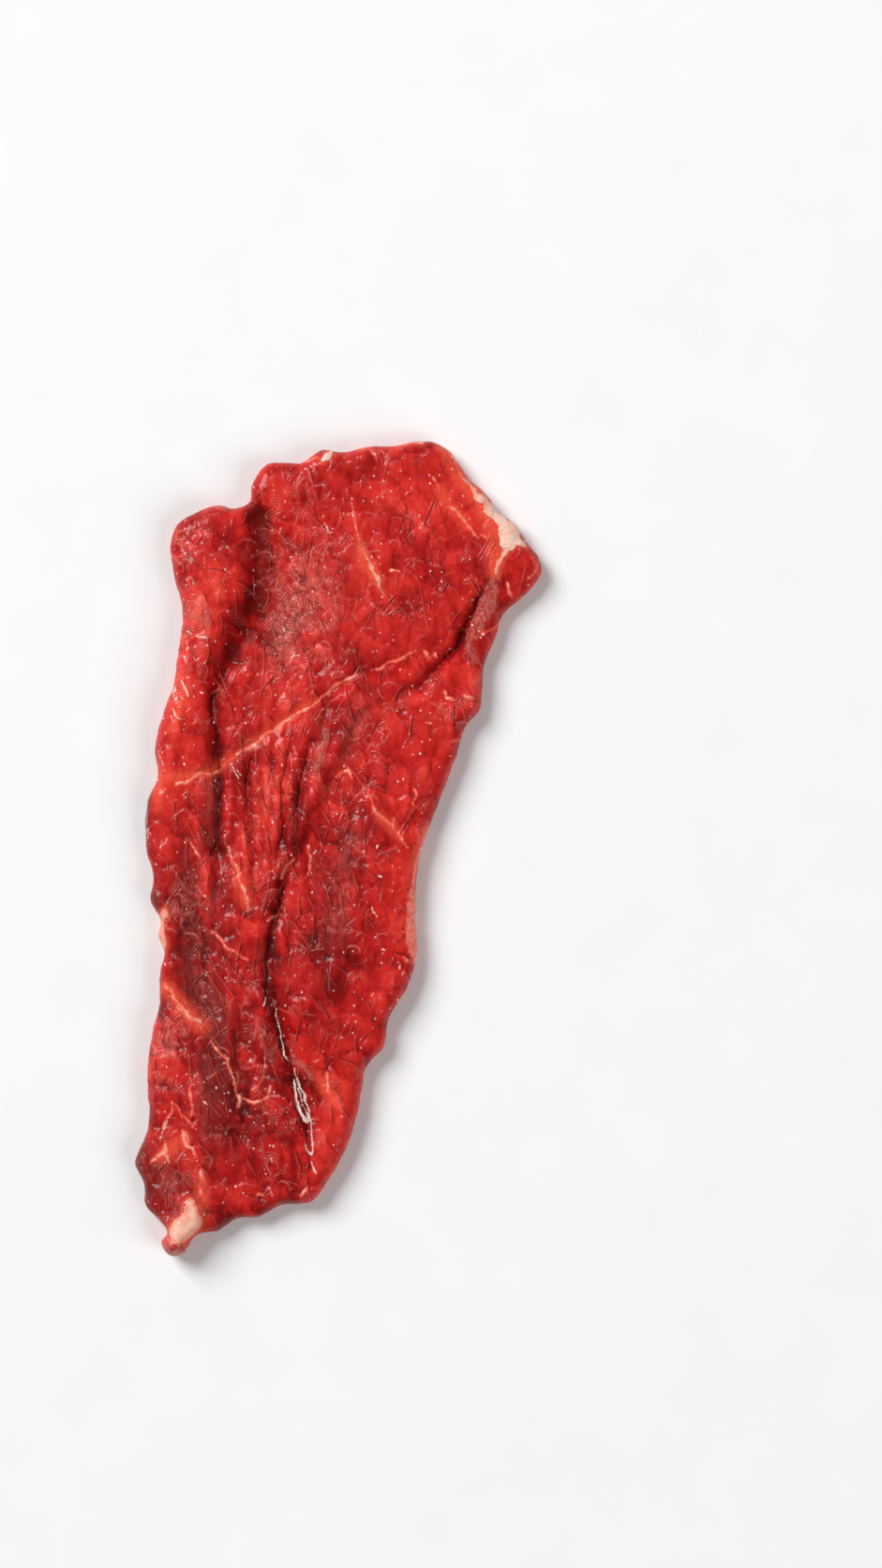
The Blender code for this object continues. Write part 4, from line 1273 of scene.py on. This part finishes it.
def membranes(net, colour, place, drawn_out, wobble):
    """See-through membrane, thin parts, glow of fat below, painted shade in the crevices and pale cut faces.
    """
    threads = net.swing(drawn_out, 1.0, 2.0, 0.8)
    veil = net.span(net.add(net.mask("veil"), threads, 3.0), 0.45, -0.85)
    blotches = net.span(net.noise(place, 1.5, distortion=1.0), 0.40, 0.64)
    colour = net.over(colour, net.mix(blotches, VEIL_COLOUR, VEIL_DEEP), veil, COVER["veil"])
    # The crevice tint among these is painted shade in the crevices
    for name, (breakup, start, full, strength, tint) in EDGED_TINTS.items():
        cover = net.span(net.add(net.mask(name), wobble, breakup), start, full)
        colour = net.over(colour, tint, cover, strength)
    face = net.span(net.add(net.add(net.mask("face"), wobble, 0.9), threads, 1.3), 0.40, -0.45)
    face_tone = net.mix(net.span(net.noise(place, 1.2), 0.42, 0.66), FACE_COLOUR, FACE_DEEP)
    return net.over(colour, face_tone, face, COVER["face"])


def film_and_fat(net, colour, place, wobble):
    """Pale film and seams with a warm edge, and the fat. Returns the colour and where the fat is."""
    broken = net.span(net.noise(place, 1.7, detail=1.0), 0.35, 0.60, -0.08, 0.16)
    edge = net.add(net.add(net.mask("film"), wobble, 0.4), broken)
    colour = net.over(colour, FILM_EDGE, net.span(edge, 0.50, 0.0), COVER["film edge"])
    uneven = net.span(net.noise(place, 2.4, detail=0.0), 0.35, 0.6, 0.5, 1.0)
    colour = net.over(colour, FILM_CORE, net.mul(net.span(edge, 0.10, -0.26), uneven), COVER["film"])

    edge = net.add(net.mask("fat"), wobble, 0.45)
    colour = net.over(colour, GLOW_COLOUR, net.span(edge, 1.3, -0.1), COVER["fat glow"])
    fat = net.span(edge, 0.14, -0.22)
    marbled = net.span(net.noise(place, 4.5, detail=1.0, distortion=0.8), 0.38, 0.62)
    # Fat paler towards the middle: partly its own colour, partly painted highlight on its rounded top
    inner = net.span(edge, -0.3, -1.2)
    tone = net.mix(net.mul(net.linear(marbled, 0.6, 0.4), inner), FAT_COLOUR, FAT_PALE)
    tone = net.mix(net.mul(net.mask("white_fat"), net.span(marbled, 0.0, 1.0, 0.6, 1.0)), tone, FAT_WHITE)
    return net.mix(fat, colour, tone), fat


def painted_glints(net, colour, place, lean):
    """Painted highlights: small glints on the lean meat, and the bright gleams."""
    # Painted highlights: glint spots and gleam strokes in white
    spots = net.most(*(dots(net, place, *row) for row in GLINT_SPOTS))
    spots = net.mul(net.mul(spots, net.span(net.noise(place, 7.0, detail=1.0), 0.42, 0.60, 0.08, 1.0)), lean)
    gleam = net.span(net.add(net.mask("gleam"), net.swing(place, 0.55), 0.5), 0.12, -0.12)
    shine = net.most(net.mul(spots, COVER["spot"]), net.mul(gleam, COVER["gleam"]))
    return net.mix(shine, colour, GLINT_WHITE)


def fine_bump(net, place, drawn_out, crinkle, pale, dark, lean, fat):
    """Relief finer than the mesh."""
    relief = net.mul(net.noise(place, 1.6, detail=1.0), net.linear(crinkle, 0.5, 0.35))
    relief = net.add(relief, net.noise(drawn_out, 1.0, detail=1.0), 0.3)
    relief = net.add(relief, pale, 0.9)
    relief = net.sub(relief, dark, 0.5)
    relief = net.mul(relief, net.linear(lean, 0.9, 0.1))
    relief = net.add(relief, net.mul(net.noise(place, 2.6, detail=1.0, distortion=1.2), fat), 2.2)
    return net.node("Bump", Height=relief, Distance=BUMP_HEIGHT, Strength=1.0).outputs["Normal"]


def meat_material():
    """Wet raw beef: mottled red with pale curling fibres that are partly painted highlight, seams, fat,
    painted shade in the hollows and creases, and small painted glints.
    """
    material = bpy.data.materials.new("beef")
    material.use_nodes = True
    material.node_tree.nodes.clear()
    net = Net(material.node_tree)
    place = net.scaled(net.node("TexCoord").outputs["Object"], 1 / MM)
    drawn_out = net.shift(place, (0, 0, 0), (1.0, 0.30, 1.0))
    crinkle = net.mask("crinkle")
    wobble = net.swing(place, 0.9)

    colour = lean_colour(net, place, drawn_out, crinkle, wobble)
    colour, pale, dark = fine_lines(net, colour, place, crinkle)
    colour = membranes(net, colour, place, drawn_out, wobble)
    colour, fat = film_and_fat(net, colour, place, wobble)
    lean = net.sub(1.0, fat)
    normal = fine_bump(net, place, drawn_out, crinkle, pale, dark, lean, fat)
    shader = net.node(
        "BsdfPrincipled",
        Base_Color=painted_glints(net, colour, place, lean),
        Roughness=net.span(net.noise(place, 3.0), 0.3, 0.7, *ROUGHNESS),
        Normal=normal,
        Specular_IOR_Level=net.span(net.mask("matt"), 0.0, 1.0, *SPECULAR),
        Coat_Weight=net.span(net.mask("matt"), 0.0, 1.0, *COAT),
        Coat_Roughness=COAT_ROUGHNESS,
        Coat_Normal=normal,
        Subsurface_Weight=SUBSURFACE_WEIGHT,
        Subsurface_Radius=SUBSURFACE_RADIUS,
        Subsurface_Scale=SUBSURFACE_SCALE,
    )
    net.node("OutputMaterial", Surface=shader.outputs["BSDF"])
    return material


def build_steak():
    steak = bpy.data.objects.new("steak", steak_mesh())
    bpy.context.scene.collection.objects.link(steak)
    low, high = cad_box
    co = np.empty(len(steak.data.vertices) * 3, np.float32)
    steak.data.vertices.foreach_get("co", co)
    co = np.clip(co.reshape(-1, 3), np.array(low), np.array(high))
    steak.data.vertices.foreach_set("co", co.ravel())
    steak.data.materials.append(meat_material())
    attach(steak, "root")
    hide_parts(NODE)


def build_floor():
    """A plain pale floor, just below the slice."""
    mesh = bpy.data.meshes.new("floor")
    h = FLOOR_HALF
    mesh.from_pydata([(-h, -h, 0), (h, -h, 0), (h, h, 0), (-h, h, 0)], [], [(0, 1, 2, 3)])
    floor = bpy.data.objects.new("floor", mesh)
    floor.location.z = -FLOOR_GAP
    bpy.context.scene.collection.objects.link(floor)
    material = bpy.data.materials.new("pale_floor")
    material.use_nodes = True
    net = Net(material.node_tree)
    shader = material.node_tree.nodes["Principled BSDF"]
    grain = net.noise(net.node("TexCoord").outputs["Object"], FLOOR_GRAIN)
    net.put(shader.inputs["Base Color"], net.ramp(grain, FLOOR_STOPS))
    net.put(shader.inputs["Roughness"], 0.8)
    net.put(shader.inputs["Specular IOR Level"], 0.1)
    mesh.materials.append(material)


def area_light(name, place, size, watts, glossy):
    """A square white lamp that faces the slice."""
    data = bpy.data.lights.new(name, "AREA")
    data.shape = "SQUARE"
    data.size = size
    data.energy = watts
    light = bpy.data.objects.new(name, data)
    light.location = place
    light.rotation_euler = (-Vector(place)).to_track_quat("-Z", "Y").to_euler()
    light.visible_glossy = glossy
    bpy.context.scene.collection.objects.link(light)


def light_scene():
    world = bpy.data.worlds.new("studio")
    world.use_nodes = True
    background = world.node_tree.nodes["Background"]
    background.inputs["Color"].default_value = (1.0, 1.0, 1.0, 1.0)
    background.inputs["Strength"].default_value = WORLD_STRENGTH
    bpy.context.scene.world = world
    for lamp in LAMPS:
        area_light(*lamp)
    view = bpy.context.scene.view_settings
    view.view_transform = "Standard"
    view.look = "None"


def place_camera():
    """Straight above, framed as the photograph is, with its pixels as millimetres on the floor."""
    centre_x = (PHOTO_SIZE[0] / 2 - STEAK_CENTRE_PIXEL[0]) * PHOTO_MM_PER_PIXEL * MM
    centre_y = (STEAK_CENTRE_PIXEL[1] - PHOTO_SIZE[1] / 2) * PHOTO_MM_PER_PIXEL * MM
    tall = PHOTO_SIZE[1] * PHOTO_MM_PER_PIXEL * MM
    data = bpy.data.cameras.new("camera")
    data.lens = LENS
    data.sensor_width = SENSOR
    data.clip_start = CLIP_START
    camera = bpy.data.objects.new("camera", data)
    camera.location = (centre_x, centre_y, tall * LENS / SENSOR + THICKNESS * MM)
    bpy.context.scene.collection.objects.link(camera)
    bpy.context.scene.camera = camera


place_camera()
light_scene()
build_floor()
build_steak()
